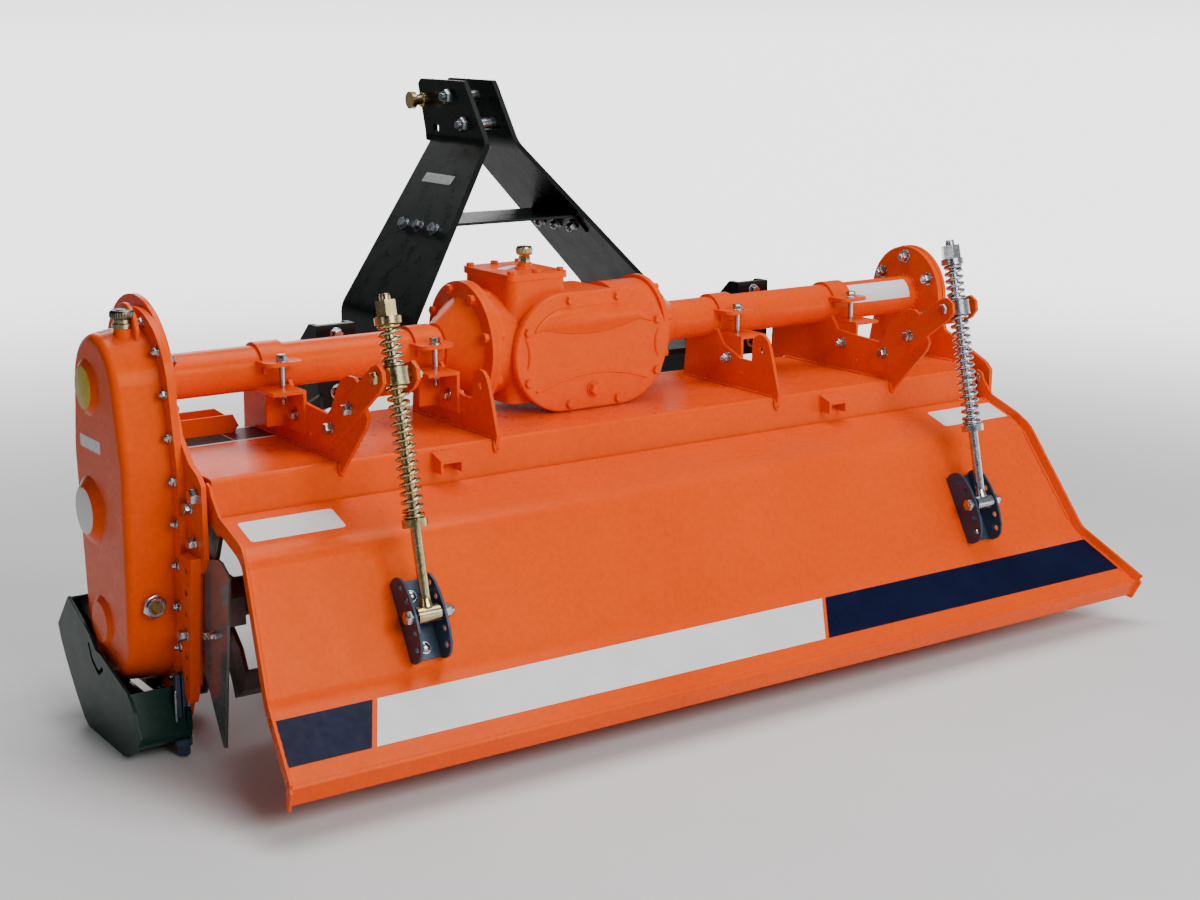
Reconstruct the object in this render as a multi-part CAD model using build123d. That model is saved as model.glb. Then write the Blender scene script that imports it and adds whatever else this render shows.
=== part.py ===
from build123d import *
import os
from math import sin, cos, tan, atan2, pi, radians, hypot

# Rotary tiller for a tractor's three-point hitch.
# Millimetres. +X is the machine's right seen from behind, +Y forward, +Z up.
# Shapes are drawn about the rotor axis (Y = 0, Z = 0) and the mast's middle
# (X = 0), and are moved to the floor frame when they are written.

# ---------------------------------------------------------------- dimensions
FLOOR_Z = -230.0            # floor below the rotor axis
CENTRE_X = -54.73           # middle of the machine's box
CENTRE_Y = -29.67
XS = -45.0                  # middle of the mast, hitch and clamps

TUBE_Y, TUBE_Z = 16.0, 454.0
TUBE_R, TUBE_RI = 44.45, 38.0
FLANGE_R = 116.0

PLATE_T = 10.0
STRIP_T = 20.0
LEFT_PLATE_X = -1040.0      # outer face of the left side plate
RIGHT_PLATE_X = 946.0       # inner face of the right side plate
CASE_RIM_T = 14.0
CASE_FACE_X = -1141.0

HOOD_T = 5.0
HOOD_Z = 308.0
HOOD_REAR_Y = -237.0

INNER_PLATE_X = 360.0      # from the middle XS
OUTER_PLATE_X = 702.0
SUPPORT_T = 8.0
INNER_CLAMP_X = 392.0
OUTER_CLAMP_X = 732.0

COVER_XL, COVER_XR = -150.0, -12.0   # the two gear centres behind the rear cover
COVER_Z, COVER_R, DRUM_R = 436.0, 126.0, 117.0
COVER_Y = -112.0

PTO_X, PTO_Z, PTO_R = -12.0, 436.0, 17.45

MAST_T = 12.0
MAST_TOP_X, MAST_FOOT_X = 38.0, 330.0
MAST_TOP_Z, MAST_BEND_Z, MAST_KNEE_Z, MAST_FOOT_Z = 978.0, 842.0, 482.0, 335.0
TOP_PIN_R = 12.7
TOP_PIN_Y, TOP_PIN_Z = 572.0, 930.0
FREE_HOLE_Y, FREE_HOLE_Z = 530.0, 866.0
SPACER_Y, SPACER_Z = 398.0, 881.0
SPACER2_Y, SPACER2_Z = 468.0, 941.0

HITCH_IN_X, HITCH_OUT_X, HITCH_T = 502.0, 578.0, 12.0
HITCH_PIN_R = 14.0
HITCH_STUB_X0, HITCH_STUB_X1 = 396.0, 472.0   # free length of the pin, inside the plates
HITCH_PIN_Y, HITCH_PIN_Z = 335.0, 235.0

ROTOR_TUBE_R = 40.0
ROTOR_X0, ROTOR_X1 = -975.0, 891.0
BLADE_TIP_R = 216.0
FLANGES, BLADES_PER_FLANGE = 8, 6
FLANGE_X0, FLANGE_X1 = -930.0, 845.0
ROTOR_FLANGE_R, ROTOR_FLANGE_T = 92.0, 10.0
BLADE_T, BLADE_FOOT = 8.0, 66.0

HINGE_Y, HINGE_Z, HINGE_R = -240.0, 283.0, 8.0
BOARD_T = 4.0
BOARD = [(-262.0, 241.0), (-385.0, 200.0), (-520.0, -35.0), (-655.0, -130.0)]
BOARD_X0, BOARD_X1 = -1020.0, 936.0
BOARD_FLARE_L, BOARD_FLARE_R = 52.0, 108.0

FORK_Y, FORK_Z = -414.0, 497.0
ROD_R = 10.0
ROD_X = {"left": -720.0, "right": 684.0}
EYE_Y, EYE_Z = -513.0, 74.0

SKID_X0, SKID_X1 = -1160.0, -1054.0
SKID_RIGHT_X = 1030.0


# ------------------------------------------------------------------- helpers
def yz(points, x0, x1):
    """A flat outline in the YZ plane, as thick as x0 to x1."""
    face = make_face(Polyline(*[(x0, y, z) for y, z in points], close=True))
    return extrude(face, amount=x1 - x0, dir=(1, 0, 0))


def xy(points, z0, z1):
    face = make_face(Polyline(*[(x, y, z0) for x, y in points], close=True))
    return extrude(face, amount=z1 - z0, dir=(0, 0, 1))


def box(x0, x1, y0, y1, z0, z1):
    return Pos((x0 + x1) / 2, (y0 + y1) / 2, (z0 + z1) / 2) * Box(
        abs(x1 - x0), abs(y1 - y0), abs(z1 - z0)
    )


def bar_x(x0, x1, y, z, r):
    """A round bar along X."""
    return Pos((x0 + x1) / 2, y, z) * Rot(0, 90, 0) * Cylinder(r, abs(x1 - x0))


def bar_y(y0, y1, x, z, r):
    return Pos(x, (y0 + y1) / 2, z) * Rot(90, 0, 0) * Cylinder(r, abs(y1 - y0))


def cone_x(x0, r0, x1, r1, y, z):
    """A round taper along X from radius r0 at x0 to r1 at x1."""
    pts = [(x0, y, z), (x0, y, z + r0), (x1, y, z + r1), (x1, y, z)]
    face = make_face(Polyline(*pts, close=True))
    return revolve(face, Axis((0, y, z), (1, 0, 0)), 360)


def bent(points, radii, t, shift=0.0):
    """Edges (in a flat 2-D list) of a strip of thickness t along a bent line.
    shift moves the strip to the left of the line's direction."""
    n = len(points)
    dirs = []
    for a, b in zip(points, points[1:]):
        d = hypot(b[0] - a[0], b[1] - a[1])
        dirs.append(((b[0] - a[0]) / d, (b[1] - a[1]) / d))
    lo, hi = shift - t / 2, shift + t / 2

    def side(o):
        out = []
        d = dirs[0]
        start = (points[0][0] - d[1] * o, points[0][1] + d[0] * o)
        cur = start
        for i in range(1, n - 1):
            a, b = dirs[i - 1], dirs[i]
            turn = atan2(a[0] * b[1] - a[1] * b[0], a[0] * b[0] + a[1] * b[1])
            s = 1.0 if turn > 0 else -1.0
            r = radii[i - 1]
            length = r * tan(abs(turn) / 2)
            p = points[i]
            ta = (p[0] - a[0] * length, p[1] - a[1] * length)
            tb = (p[0] + b[0] * length, p[1] + b[1] * length)
            c = (ta[0] - a[1] * r * s, ta[1] + a[0] * r * s)
            e1 = (ta[0] - a[1] * o, ta[1] + a[0] * o)
            e2 = (tb[0] - b[1] * o, tb[1] + b[0] * o)
            m = (p[0] - c[0], p[1] - c[1])
            ml = hypot(*m)
            rr = r - s * o
            mid = (c[0] + m[0] / ml * rr, c[1] + m[1] / ml * rr)
            out.append(("l", cur, e1))
            out.append(("a", e1, mid, e2))
            cur = e2
        d = dirs[-1]
        end = (points[-1][0] - d[1] * o, points[-1][1] + d[0] * o)
        out.append(("l", cur, end))
        return out, start, end

    up, us, ue = side(hi)
    dn, ds, de = side(lo)
    back = []
    for e in reversed(dn):
        back.append(("l", e[2], e[1]) if e[0] == "l" else ("a", e[3], e[2], e[1]))
    return up + [("l", ue, de)] + back + [("l", ds, us)]


def strip_face(edges, place):
    made = []
    for e in edges:
        if e[0] == "l":
            made.append(Line(place(e[1]), place(e[2])))
        else:
            made.append(ThreePointArc(place(e[1]), place(e[2]), place(e[3])))
    return make_face(made)


def bent_yz(points, radii, t, x0, x1, shift=0.0):
    face = strip_face(bent(points, radii, t, shift), lambda p: (x0, p[0], p[1]))
    return extrude(face, amount=x1 - x0, dir=(1, 0, 0))


def bent_xz(points, radii, t, y0, y1, shift=0.0):
    face = strip_face(bent(points, radii, t, shift), lambda p: (p[0], y0, p[1]))
    return extrude(face, amount=y1 - y0, dir=(0, 1, 0))


def hull_face(circles, grow=0.0):
    """Outline round a column of circles (y, z, r), as a face in the XY plane."""
    rings = [Pos(y, z) * CenterArc((0, 0), r + grow, 0, 360) for y, z, r in circles]
    return make_hull(rings)


def to_yz(face, x):
    """Puts a face drawn in the XY plane on the plane X = x (its x is Y, its y is Z)."""
    return Plane((x, 0, 0), x_dir=(0, 1, 0), z_dir=(1, 0, 0)) * face


def solids(*shapes):
    found = []
    for s in shapes:
        found += list(s.solids())
    return found


NODES = {}


def node(name, *shapes):
    NODES[name] = solids(*shapes)


def mirror_x(shape):
    return mirror(shape, about=Plane.YZ)


# ------------------------------------------------------------- main beam tube
left_in = LEFT_PLATE_X + PLATE_T                 # inner face of the left plate
BELL_L, BELL_R = -322.0, 118.0                    # joints between tube bells and gearbox


def tube(x0, x1):
    return bar_x(x0, x1, TUBE_Y, TUBE_Z, TUBE_R)


left_tube = (
    tube(left_in, -385)
    + bar_x(left_in, left_in + 15, TUBE_Y, TUBE_Z, FLANGE_R)
    + cone_x(-394, 50, BELL_L - 10, 102, TUBE_Y, TUBE_Z)
    + bar_x(BELL_L - 12, BELL_L, TUBE_Y, TUBE_Z, 133)
) - bar_x(left_in + 12, BELL_L - 30, TUBE_Y, TUBE_Z, TUBE_RI)
right_tube = (
    tube(190, RIGHT_PLATE_X)
    + bar_x(RIGHT_PLATE_X - 15, RIGHT_PLATE_X, TUBE_Y, TUBE_Z, FLANGE_R)
    + cone_x(BELL_R + 10, 96, 196, 50, TUBE_Y, TUBE_Z)
    + bar_x(BELL_R, BELL_R + 12, TUBE_Y, TUBE_Z, 112)
) - bar_x(BELL_R + 30, RIGHT_PLATE_X - 12, TUBE_Y, TUBE_Z, TUBE_RI)
node("main_tube_left", left_tube)
node("main_tube_right", right_tube)

# ------------------------------------------------------------------- gearbox
def oblong(r, y0, y1):
    body = (
        bar_y(y0, y1, COVER_XL, COVER_Z, r)
        + bar_y(y0, y1, COVER_XR, COVER_Z, r)
        + box(COVER_XL, COVER_XR, y0, y1, COVER_Z - r, COVER_Z + r)
    )
    return body


BEVEL_X0, BEVEL_X1 = -268.0, -124.0
drum = oblong(DRUM_R, COVER_Y + 14, 92)
bevel_box = fillet(box(BEVEL_X0, BEVEL_X1, -78, 112, 332, 590).edges().filter_by(Axis.Z), 22)
necks = bar_x(BELL_L, BEVEL_X0 + 14, TUBE_Y, TUBE_Z, 112) + bar_x(BELL_L, BELL_L + 12, TUBE_Y, TUBE_Z, 133)
necks += bar_x(20, BELL_R, TUBE_Y, TUBE_Z, 104)
nose = bar_y(92, 196, PTO_X, PTO_Z, 62) + bar_y(92, 120, PTO_X, PTO_Z, 92)
foot = box(-172, -128, -92, -62, HOOD_Z, 330)
housing = drum + bevel_box + necks + nose + foot
housing -= bar_y(120, 200, PTO_X, PTO_Z, 26)
node("gearbox_housing", housing)

cover = oblong(COVER_R, COVER_Y, COVER_Y + 14)
rim_edges = cover.faces().sort_by(Axis.Y)[0].edges()
cover = fillet(rim_edges, 5)
node("gearbox_rear_cover", cover)
node("gearbox_top_cover", fillet(box(BEVEL_X0 - 2, BEVEL_X1 + 2, -80, 114, 590, 604).edges().filter_by(Axis.Z), 14))
BREATHER_X, BREATHER_Y = -180.0, 4.0
breather = (
    Pos(BREATHER_X, BREATHER_Y, 609) * Cylinder(17, 10)
    + Pos(BREATHER_X, BREATHER_Y, 623) * Cylinder(10, 22)
    + Pos(BREATHER_X, BREATHER_Y, 642) * Cylinder(17, 18)
)
node("gearbox_breather", breather)

spline = bar_y(126, 292, PTO_X, PTO_Z, PTO_R)
for k in range(6):
    a = radians(60 * k + 30)
    cx, cz = PTO_X + cos(a) * 19.5, PTO_Z + sin(a) * 19.5
    slot = Pos(cx, 247, cz) * Rot(0, -(60 * k + 30), 0) * Box(10, 92, 8.6)
    spline -= slot
spline -= bar_y(262, 270, PTO_X, PTO_Z, 30) - bar_y(261, 271, PTO_X, PTO_Z, 14.7)
spline += bar_y(150, 170, PTO_X, PTO_Z, 24)
node("pto_shaft", spline)
guard = bar_y(196, 300, PTO_X, PTO_Z, 84) - bar_y(200, 301, PTO_X, PTO_Z, 80) - bar_y(190, 210, PTO_X, PTO_Z, 48)
guard -= box(PTO_X - 90, PTO_X + 90, 210, 320, PTO_Z - 100, PTO_Z - 38)
node("pto_guard", guard)

# ----------------------------------------------------------- gear case, plates
CASE = [(-18.0, 452.0, 104.0), (-22.0, 318.0, 128.0), (-24.0, 6.0, 112.0)]
RIM = [(-18.0, 452.0, 150.0), (-24.0, 300.0, 168.0), (-24.0, 6.0, 160.0)]
case_x = LEFT_PLATE_X - CASE_RIM_T
shell = loft(
    [
        to_yz(hull_face(CASE, 0), CASE_FACE_X),
        to_yz(hull_face(CASE, 14), case_x + 1),
    ]
)
shell = fillet(shell.faces().sort_by(Axis.X)[0].edges(), 16)
bosses = (
    cone_x(CASE_FACE_X - 8, 43, CASE_FACE_X + 10, 68, TUBE_Y - 4, TUBE_Z)
    + cone_x(CASE_FACE_X - 14, 47, CASE_FACE_X + 5, 74, 28, 214)
    + cone_x(CASE_FACE_X - 8, 40, CASE_FACE_X + 10, 64, 0, 0)
)
rim = extrude(to_yz(hull_face(RIM), case_x), amount=CASE_RIM_T, dir=(1, 0, 0))
filler_neck = Pos(-1088, -50, 556) * Cylinder(17, 40)
sight_seat = bar_y(-150, -120, -1096, 62, 20)
node("gear_case", shell + bosses + rim + filler_neck + sight_seat)
filler = (
    Pos(-1088, -50, 583) * Cylinder(12, 14)
    + Pos(-1088, -50, 596) * Cylinder(22, 14)
)
node("gear_case_filler_cap", filler)
node("gear_case_oil_sight", bar_y(-164, -150, -1096, 62, 17))


REAR_EDGE = [
    (176, -80), (120, -168), (-150, -168), (-184, -90), (-184, 92), (-246, 140), (-266, 170), (-266, 306), (-250, 322),
]


def side_plate(x0, top_r, front, rear):
    upper = bar_x(x0, x0 + PLATE_T, TUBE_Y, TUBE_Z, top_r)
    return upper + yz(front + REAR_EDGE + rear, x0, x0 + PLATE_T)


left_plate = side_plate(LEFT_PLATE_X, 166, [(176, 430), (182, 300)], [(-214, 338), (-172, 380), (-140, 462)])
left_plate -= bar_x(-1050, -1020, 0, 0, 60)
left_plate -= bar_x(-1050, -1020, HINGE_Y, HINGE_Z, HINGE_R + 0.3)
STRIP = [(-250, 168), (-196, 168), (-194, 90), (-191, 0), (-184, -60), (-188, -104), (-204, -122), (-216, -100)]
STRIP_HOLES = [(-226, 142), (-221, 99), (-215, 57), (-210, 15), (-207, -28), (-203, -70)]
STRIP_WEB = [(-236, 166), (-180, 166), (-180, -60), (-204, -92)]
adjust_strip = yz(STRIP, LEFT_PLATE_X - STRIP_T, LEFT_PLATE_X)
for y, z in STRIP_HOLES:
    adjust_strip -= bar_x(LEFT_PLATE_X - STRIP_T - 2, LEFT_PLATE_X + 1, y, z, 6)
strip_web = yz(STRIP_WEB, LEFT_PLATE_X, LEFT_PLATE_X + PLATE_T)
left_plate = left_plate + strip_web + adjust_strip
node("left_side_plate", left_plate)

right_plate = side_plate(RIGHT_PLATE_X, 118, [(130, 430), (160, 300)], [(-196, 345), (-110, 380), (-92, 430)])
right_plate -= bar_x(RIGHT_PLATE_X - 6, RIGHT_PLATE_X + 16, 0, 0, 60)
right_plate -= bar_x(RIGHT_PLATE_X - 6, RIGHT_PLATE_X + 16, HINGE_Y, HINGE_Z, HINGE_R + 0.3)
strip_r = mirror_x(adjust_strip).translate((RIGHT_PLATE_X + PLATE_T + LEFT_PLATE_X, 0, 0))
strip_web_r = yz(STRIP_WEB, RIGHT_PLATE_X, RIGHT_PLATE_X + PLATE_T)
node("right_side_plate", right_plate + strip_web_r + strip_r)

left_hub = bar_x(left_in, -981, 0, 0, 76) + bar_x(LEFT_PLATE_X, left_in, 0, 0, 59.7)
left_hub -= bar_x(-1036, -970, 0, 0, 30.05)
node("rotor_hub_left", left_hub)
right_hub = (
    bar_x(RIGHT_PLATE_X - 49, RIGHT_PLATE_X, 0, 0, 76)
    + bar_x(RIGHT_PLATE_X, RIGHT_PLATE_X + PLATE_T, 0, 0, 59.7)
    + bar_x(RIGHT_PLATE_X + PLATE_T, RIGHT_PLATE_X + 28, 0, 0, 84)
    + cone_x(RIGHT_PLATE_X + 28, 62, RIGHT_PLATE_X + 44, 46, 0, 0)
)
right_hub -= bar_x(RIGHT_PLATE_X - 56, RIGHT_PLATE_X + 18, 0, 0, 30.05)
node("rotor_hub_right", right_hub)

node(
    "board_hinge_pins",
    bar_x(LEFT_PLATE_X - 12, left_in + 19, HINGE_Y, HINGE_Z, HINGE_R) + bar_x(LEFT_PLATE_X - 12, LEFT_PLATE_X - 0.2, HINGE_Y, HINGE_Z, 13),
    bar_x(RIGHT_PLATE_X - 19, RIGHT_PLATE_X + PLATE_T + 12, HINGE_Y, HINGE_Z, HINGE_R)
    + bar_x(RIGHT_PLATE_X + PLATE_T + 0.2, RIGHT_PLATE_X + PLATE_T + 12, HINGE_Y, HINGE_Z, 13),
)

# ---------------------------------------------------------------------- hood
HOOD = [
    (HOOD_REAR_Y - 13, 237), (HOOD_REAR_Y, HOOD_Z), (148, HOOD_Z), (208, 258), (240, 126), (252, 96),
]
hood = bent_yz(HOOD, [9, 40, 40, 20], HOOD_T, left_in, RIGHT_PLATE_X, shift=-HOOD_T / 2)
hood -= box(left_in - 1, left_in + 22, -330, -198, 180, 330)
hood -= box(RIGHT_PLATE_X - 22, RIGHT_PLATE_X + 1, -330, -198, 180, 330)
for x in (-525, 466):
    ear = [(-234.5, 300), (-276, 284), (-276, 262), (-243, 262)]
    lug = yz(ear, x - 26, x - 20) + yz(ear, x + 20, x + 26)
    lug += yz([(-233.5, 302), (-276, 288), (-276, 281), (-234.5, 296)], x - 26, x + 26)
    hood += lug
node("hood", hood)

# ------------------------------------------- support plates, clamps, fork arms
cradle = bar_x(-1200, 1200, TUBE_Y, TUBE_Z, TUBE_R + 0.4)
fold = (HOOD_REAR_Y, HOOD_Z)
toe = (HOOD_REAR_Y - 13 * 26 / 71, HOOD_Z - 26)
inner_outline = [
    (92, HOOD_Z), (82, 398), (60, 432), (-30, 432), (-54, 402), (-120, 376), (-158, 376),
    (-160, 416), (-168, 432), (-184, 440), (-200, 438), (-213, 428), (-222, 408), (-252, 316), toe, fold,
]
outer_outline = [
    (148.5, HOOD_Z), (190, 274.5), (186, 372), (150, 414), (60, 432), (-30, 432), (-54, 402), (-118, 396), (-196, 392), (-214, 406), (-236, 444),
    (-256, 467), (-284, 480), (-310, 481), (-327, 472), (-340, 452), (-360, 412), (-352, 394), toe, fold,
]


def support(outline, x, holes):
    p = yz(outline, x - SUPPORT_T / 2, x + SUPPORT_T / 2) - cradle
    for y, z, r in holes:
        p -= bar_x(x - 9, x + 9, y, z, r)
    return p


node(
    "inner_support_plates",
    support(inner_outline, XS - INNER_PLATE_X, [(-188, 406, 8), (-120, 345, 6)]),
    support(inner_outline, XS + INNER_PLATE_X, [(-188, 406, 8), (-120, 345, 6)]),
)
node(
    "outer_support_plates",
    support(outer_outline, XS - OUTER_PLATE_X, [(-120, 340, 6), (-272, 455, 4)]),
    support(outer_outline, XS + OUTER_PLATE_X, [(-120, 340, 6), (-272, 455, 4)]),
)


def clamp(x):
    strap = bar_x(x - 27, x + 27, TUBE_Y, TUBE_Z, TUBE_R + 6.5) - bar_x(x - 28, x + 28, TUBE_Y, TUBE_Z, TUBE_R + 0.4)
    strap -= box(x - 30, x + 30, TUBE_Y - 60, TUBE_Y + 60, TUBE_Z - 60, TUBE_Z - 6)
    ear = box(x - 40, x + 40, -80, TUBE_Y - TUBE_R + 0.5, TUBE_Z + 14, TUBE_Z + 22)
    ear = fillet(ear.edges().filter_by(Axis.Z).group_by(Axis.Y)[0], 18)
    return strap + ear


def clamp_foot(x, plate_x):
    """Angle under the clamp's bolt: a level leg, and an upright leg on the support plate."""
    inward = 1 if plate_x > x else -1
    face = plate_x - inward * SUPPORT_T / 2
    far, lip = x - inward * 27, x - inward * 44
    top = box(min(lip, face), max(lip, face), -110, -32, 417, 424)
    leg = box(min(face, face - inward * 7), max(face, face - inward * 7), -110, -32, 338, 418)
    back = box(min(far, face), max(far, face), -40, -33, 345, 418)
    return top + leg + back


clamp_xs = [
    (XS - OUTER_CLAMP_X, XS - OUTER_PLATE_X), (XS - INNER_CLAMP_X, XS - INNER_PLATE_X),
    (XS + INNER_CLAMP_X, XS + INNER_PLATE_X), (XS + OUTER_CLAMP_X, XS + OUTER_PLATE_X),
]
node("tube_clamps", *[clamp(x) for x, p in clamp_xs])
node("clamp_brackets", *[clamp_foot(x, p) for x, p in clamp_xs])

# outlines about the fork's pin: the first number runs down the arm to its plate
ARM_DY, ARM_DZ = 0.82, -0.5724
ARM = [(-26, 0), (-17, 19), (6, 25), (240, 27), (276, 14), (282, -12), (262, -26), (6, -25), (-17, -19)]
TAB = [(-26, 0), (-17, 19), (6, 25), (50, 20), (50, -20), (6, -25), (-17, -19)]


def on_arm(points):
    return [
        (FORK_Y + ARM_DY * s - ARM_DZ * p, FORK_Z + ARM_DZ * s + ARM_DY * p) for s, p in points
    ]


def fork_arm(plate_x, rod_x):
    a1 = plate_x - SUPPORT_T / 2
    a0 = a1 - 8
    t0 = 2 * rod_x - a1
    out = yz(on_arm(ARM), a0, a1) + yz(on_arm(TAB), t0, t0 + 8)
    out += yz(on_arm([(41, -16), (50, -16), (50, 16), (41, 16)]), a0 + 1, t0 + 7)
    return out - bar_x(a0 - 5, t0 + 15, FORK_Y, FORK_Z, 7.4)


node(
    "spring_fork_arms",
    fork_arm(XS - OUTER_PLATE_X, ROD_X["left"]),
    fork_arm(XS + OUTER_PLATE_X, ROD_X["right"]),
)

# ---------------------------------------------------------------------- mast
mast_line = [
    (-MAST_TOP_X, MAST_TOP_Z), (-MAST_TOP_X, MAST_BEND_Z), (-MAST_FOOT_X, MAST_KNEE_Z), (-MAST_FOOT_X, MAST_FOOT_Z),
]
mast_sheet = bent_xz(mast_line, [40, 40], MAST_T, 100, 760)
mast_outline = [
    (404, MAST_TOP_Z), (600, MAST_TOP_Z), (612, 966), (577, 846), (569, 838), (548, 836),
    (467, MAST_KNEE_Z), (467, MAST_FOOT_Z), (139, MAST_FOOT_Z), (139, MAST_KNEE_Z), (306, 842), (396, 970),
]
mast_left = mast_sheet & yz(mast_outline, -400, 0)
for y, z, r in (
    (TOP_PIN_Y, TOP_PIN_Z, TOP_PIN_R + 0.15), (FREE_HOLE_Y, FREE_HOLE_Z, 13.2),
    (SPACER_Y, SPACER_Z, 8.2), (SPACER2_Y, SPACER2_Z, 8.2),
):
    mast_left -= bar_x(-60, 0, y, z, r)


def on_mast(shape):
    return shape.translate((XS, 0, 0))


node("mast_left", on_mast(mast_left))
node("mast_right", on_mast(mirror_x(mast_left)))
pin = (
    bar_x(-80, 62, TOP_PIN_Y, TOP_PIN_Z, TOP_PIN_R)
    + bar_x(-90, -78, TOP_PIN_Y, TOP_PIN_Z, 20)
    + bar_x(-58, -50, TOP_PIN_Y, TOP_PIN_Z, 17)
)
node("top_link_pin", on_mast(pin))


def spacer(y, z):
    tube_half = MAST_TOP_X - MAST_T / 2
    out = bar_x(-58, 58, y, z, 8) + bar_x(-tube_half, tube_half, y, z, 14)
    out += bar_x(-56, -MAST_TOP_X - MAST_T / 2, y, z, 13) + bar_x(MAST_TOP_X + MAST_T / 2, 56, y, z, 13)
    return on_mast(out)


node("mast_spacers", spacer(SPACER_Y, SPACER_Z), spacer(SPACER2_Y, SPACER2_Z))

# tie plate between the two legs, with an ear folded down against each
BRACE_Z, BRACE_Y0, BRACE_Y1 = 676.0, 254.0, 446.0
slope = (MAST_FOOT_X - MAST_TOP_X) / (MAST_BEND_Z - MAST_KNEE_Z)


def leg_inside(z):
    """Half the gap between the two legs at height z."""
    return MAST_TOP_X + (MAST_BEND_Z - z) * slope - MAST_T / 2 * hypot(1, slope)


def xz(points, y0, y1):
    face = make_face(Polyline(*[(x, y0, z) for x, z in points], close=True))
    return extrude(face, amount=y1 - y0, dir=(0, 1, 0))


w0, w1 = leg_inside(BRACE_Z), leg_inside(BRACE_Z - 42)
brace = xz([(-w0, BRACE_Z), (w0, BRACE_Z), (w0, BRACE_Z - 6), (-w0, BRACE_Z - 6)], BRACE_Y0, BRACE_Y1)
for sign in (-1, 1):
    ear_pts = [(sign * w0, BRACE_Z), (sign * w1, BRACE_Z - 42), (sign * (w1 - 8), BRACE_Z - 42), (sign * (w0 - 8), BRACE_Z)]
    brace += xz(ear_pts, BRACE_Y0, BRACE_Y1)
node("mast_brace", on_mast(brace))

# --------------------------------------------------------------- lower hitch
HITCH = [
    (76, 512), (112, 512), (214, 420), (372, 290), (388, 255), (380, 205), (335, 186), (292, 204),
    (230, 300), (76, 372),
]


def lower_hitch(sign):
    a, b = HITCH_IN_X, HITCH_OUT_X
    parts = yz(HITCH, a, a + HITCH_T) + yz(HITCH, b, b + HITCH_T)
    parts += box(a + 1, b + 1, 76, 92, 340, 512)
    parts += box(a + 26, b - 14, TUBE_Y + TUBE_R + 0.3, 80, 428, 480)
    foot_x = MAST_FOOT_X + MAST_T / 2
    shelf = box(foot_x, a + 1, 150, 300, 345, 357) + box(foot_x, foot_x + 10, 150, 300, 338, 420)
    parts += shelf
    parts -= bar_x(a - 20, b + 40, HITCH_PIN_Y, HITCH_PIN_Z, HITCH_PIN_R + 0.15)
    return on_mast(parts if sign > 0 else mirror_x(parts))


def hitch_pin(sign):
    """Pin through both plates, with a free stub inside them for the link's ball."""
    p = bar_x(HITCH_STUB_X0, HITCH_OUT_X + HITCH_T + 20, HITCH_PIN_Y, HITCH_PIN_Z, HITCH_PIN_R)
    p += bar_x(HITCH_STUB_X1, HITCH_IN_X - 0.2, HITCH_PIN_Y, HITCH_PIN_Z, 20)
    p += bar_x(HITCH_OUT_X + HITCH_T + 0.2, HITCH_OUT_X + HITCH_T + 16, HITCH_PIN_Y, HITCH_PIN_Z, 22)
    return on_mast(p if sign > 0 else mirror_x(p))


node("lower_hitch_left", lower_hitch(-1))
node("lower_hitch_right", lower_hitch(1))
node("lower_hitch_pin_left", hitch_pin(-1))
node("lower_hitch_pin_right", hitch_pin(1))

# ---------------------------------------------------------------- skid shoes
SKID_SIDE = [
    (142, 16), (212, -58), (200, -85), (182, -113), (158, -144), (132, -174), (108, -199), (84, -220), (64, FLOOR_Z),
    (-118, FLOOR_Z), (-150, FLOOR_Z + 7), (-180, -207), (-200, -190), (-213, -170), (-190, -124), (-158, -94),
    (-102, -79), (-28, -57), (0, -55), (32, -30), (92, -4),
]
SKID_SLOT = [(37, -50), (22, -80), (-12, -100), (-34, -82)]


def skid(outer, inner):
    """Shoe from its outer cheek to its inner cheek, which stands beside the side plate."""
    side = 1 if inner > outer else -1
    s = yz(SKID_SIDE, min(outer, outer + side * 6), max(outer, outer + side * 6))
    s -= bent_yz(SKID_SLOT, [16, 14], 9, min(outer, outer + side * 6) - 4, max(outer, outer + side * 6) + 4)
    sole_line = [(179, -112), (129, -172), (70, FLOOR_Z + 3), (-120, FLOOR_Z + 3), (-203, -184), (-160, -97)]
    s += bent_yz(sole_line, [120, 50, 40, 12], 6, min(outer + side * 3, inner), max(outer + side * 3, inner))
    nose = [(140, 12), (204, -58), (192, -84), (172, -116)]
    s += bent_yz(nose, [10, 60], 6, min(outer + side * 3, outer + side * 62), max(outer + side * 3, outer + side * 62))
    cheek = [(174, -114), (128, -168), (74, FLOOR_Z + 7), (-126, FLOOR_Z + 7), (-152, -206), (-152, -172), (110, -172)]
    s += yz(cheek, min(inner, inner - side * 6), max(inner, inner - side * 6))
    bars = [(-140, -196), (-206, -172), (-206, -136), (-176, -128), (-176, -80), (-166, -70), (-150, -90), (-140, -150)]
    s += yz(bars, min(inner, inner - side * 9), max(inner, inner - side * 9))
    # stay from the outer cheek to the side plate's face
    face = LEFT_PLATE_X if side > 0 else RIGHT_PLATE_X + PLATE_T
    s += box(min(outer + side * 3, face), max(outer + side * 3, face), 126, 136, -112, -74)
    return s


node("skid_left", skid(SKID_X0, SKID_X1))
node("skid_right", skid(SKID_RIGHT_X, RIGHT_PLATE_X + PLATE_T))

GUARD = [(-172, 146), (-298, 176), (-316, 175), (-349, 155), (-298, -186), (-290, -186), (-219, -63), (-186, 0)]
guard_l = yz(GUARD, left_in, left_in + 5)
guard_r = yz(GUARD, RIGHT_PLATE_X - 5, RIGHT_PLATE_X)
node("side_guards", guard_l, guard_r)

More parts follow.
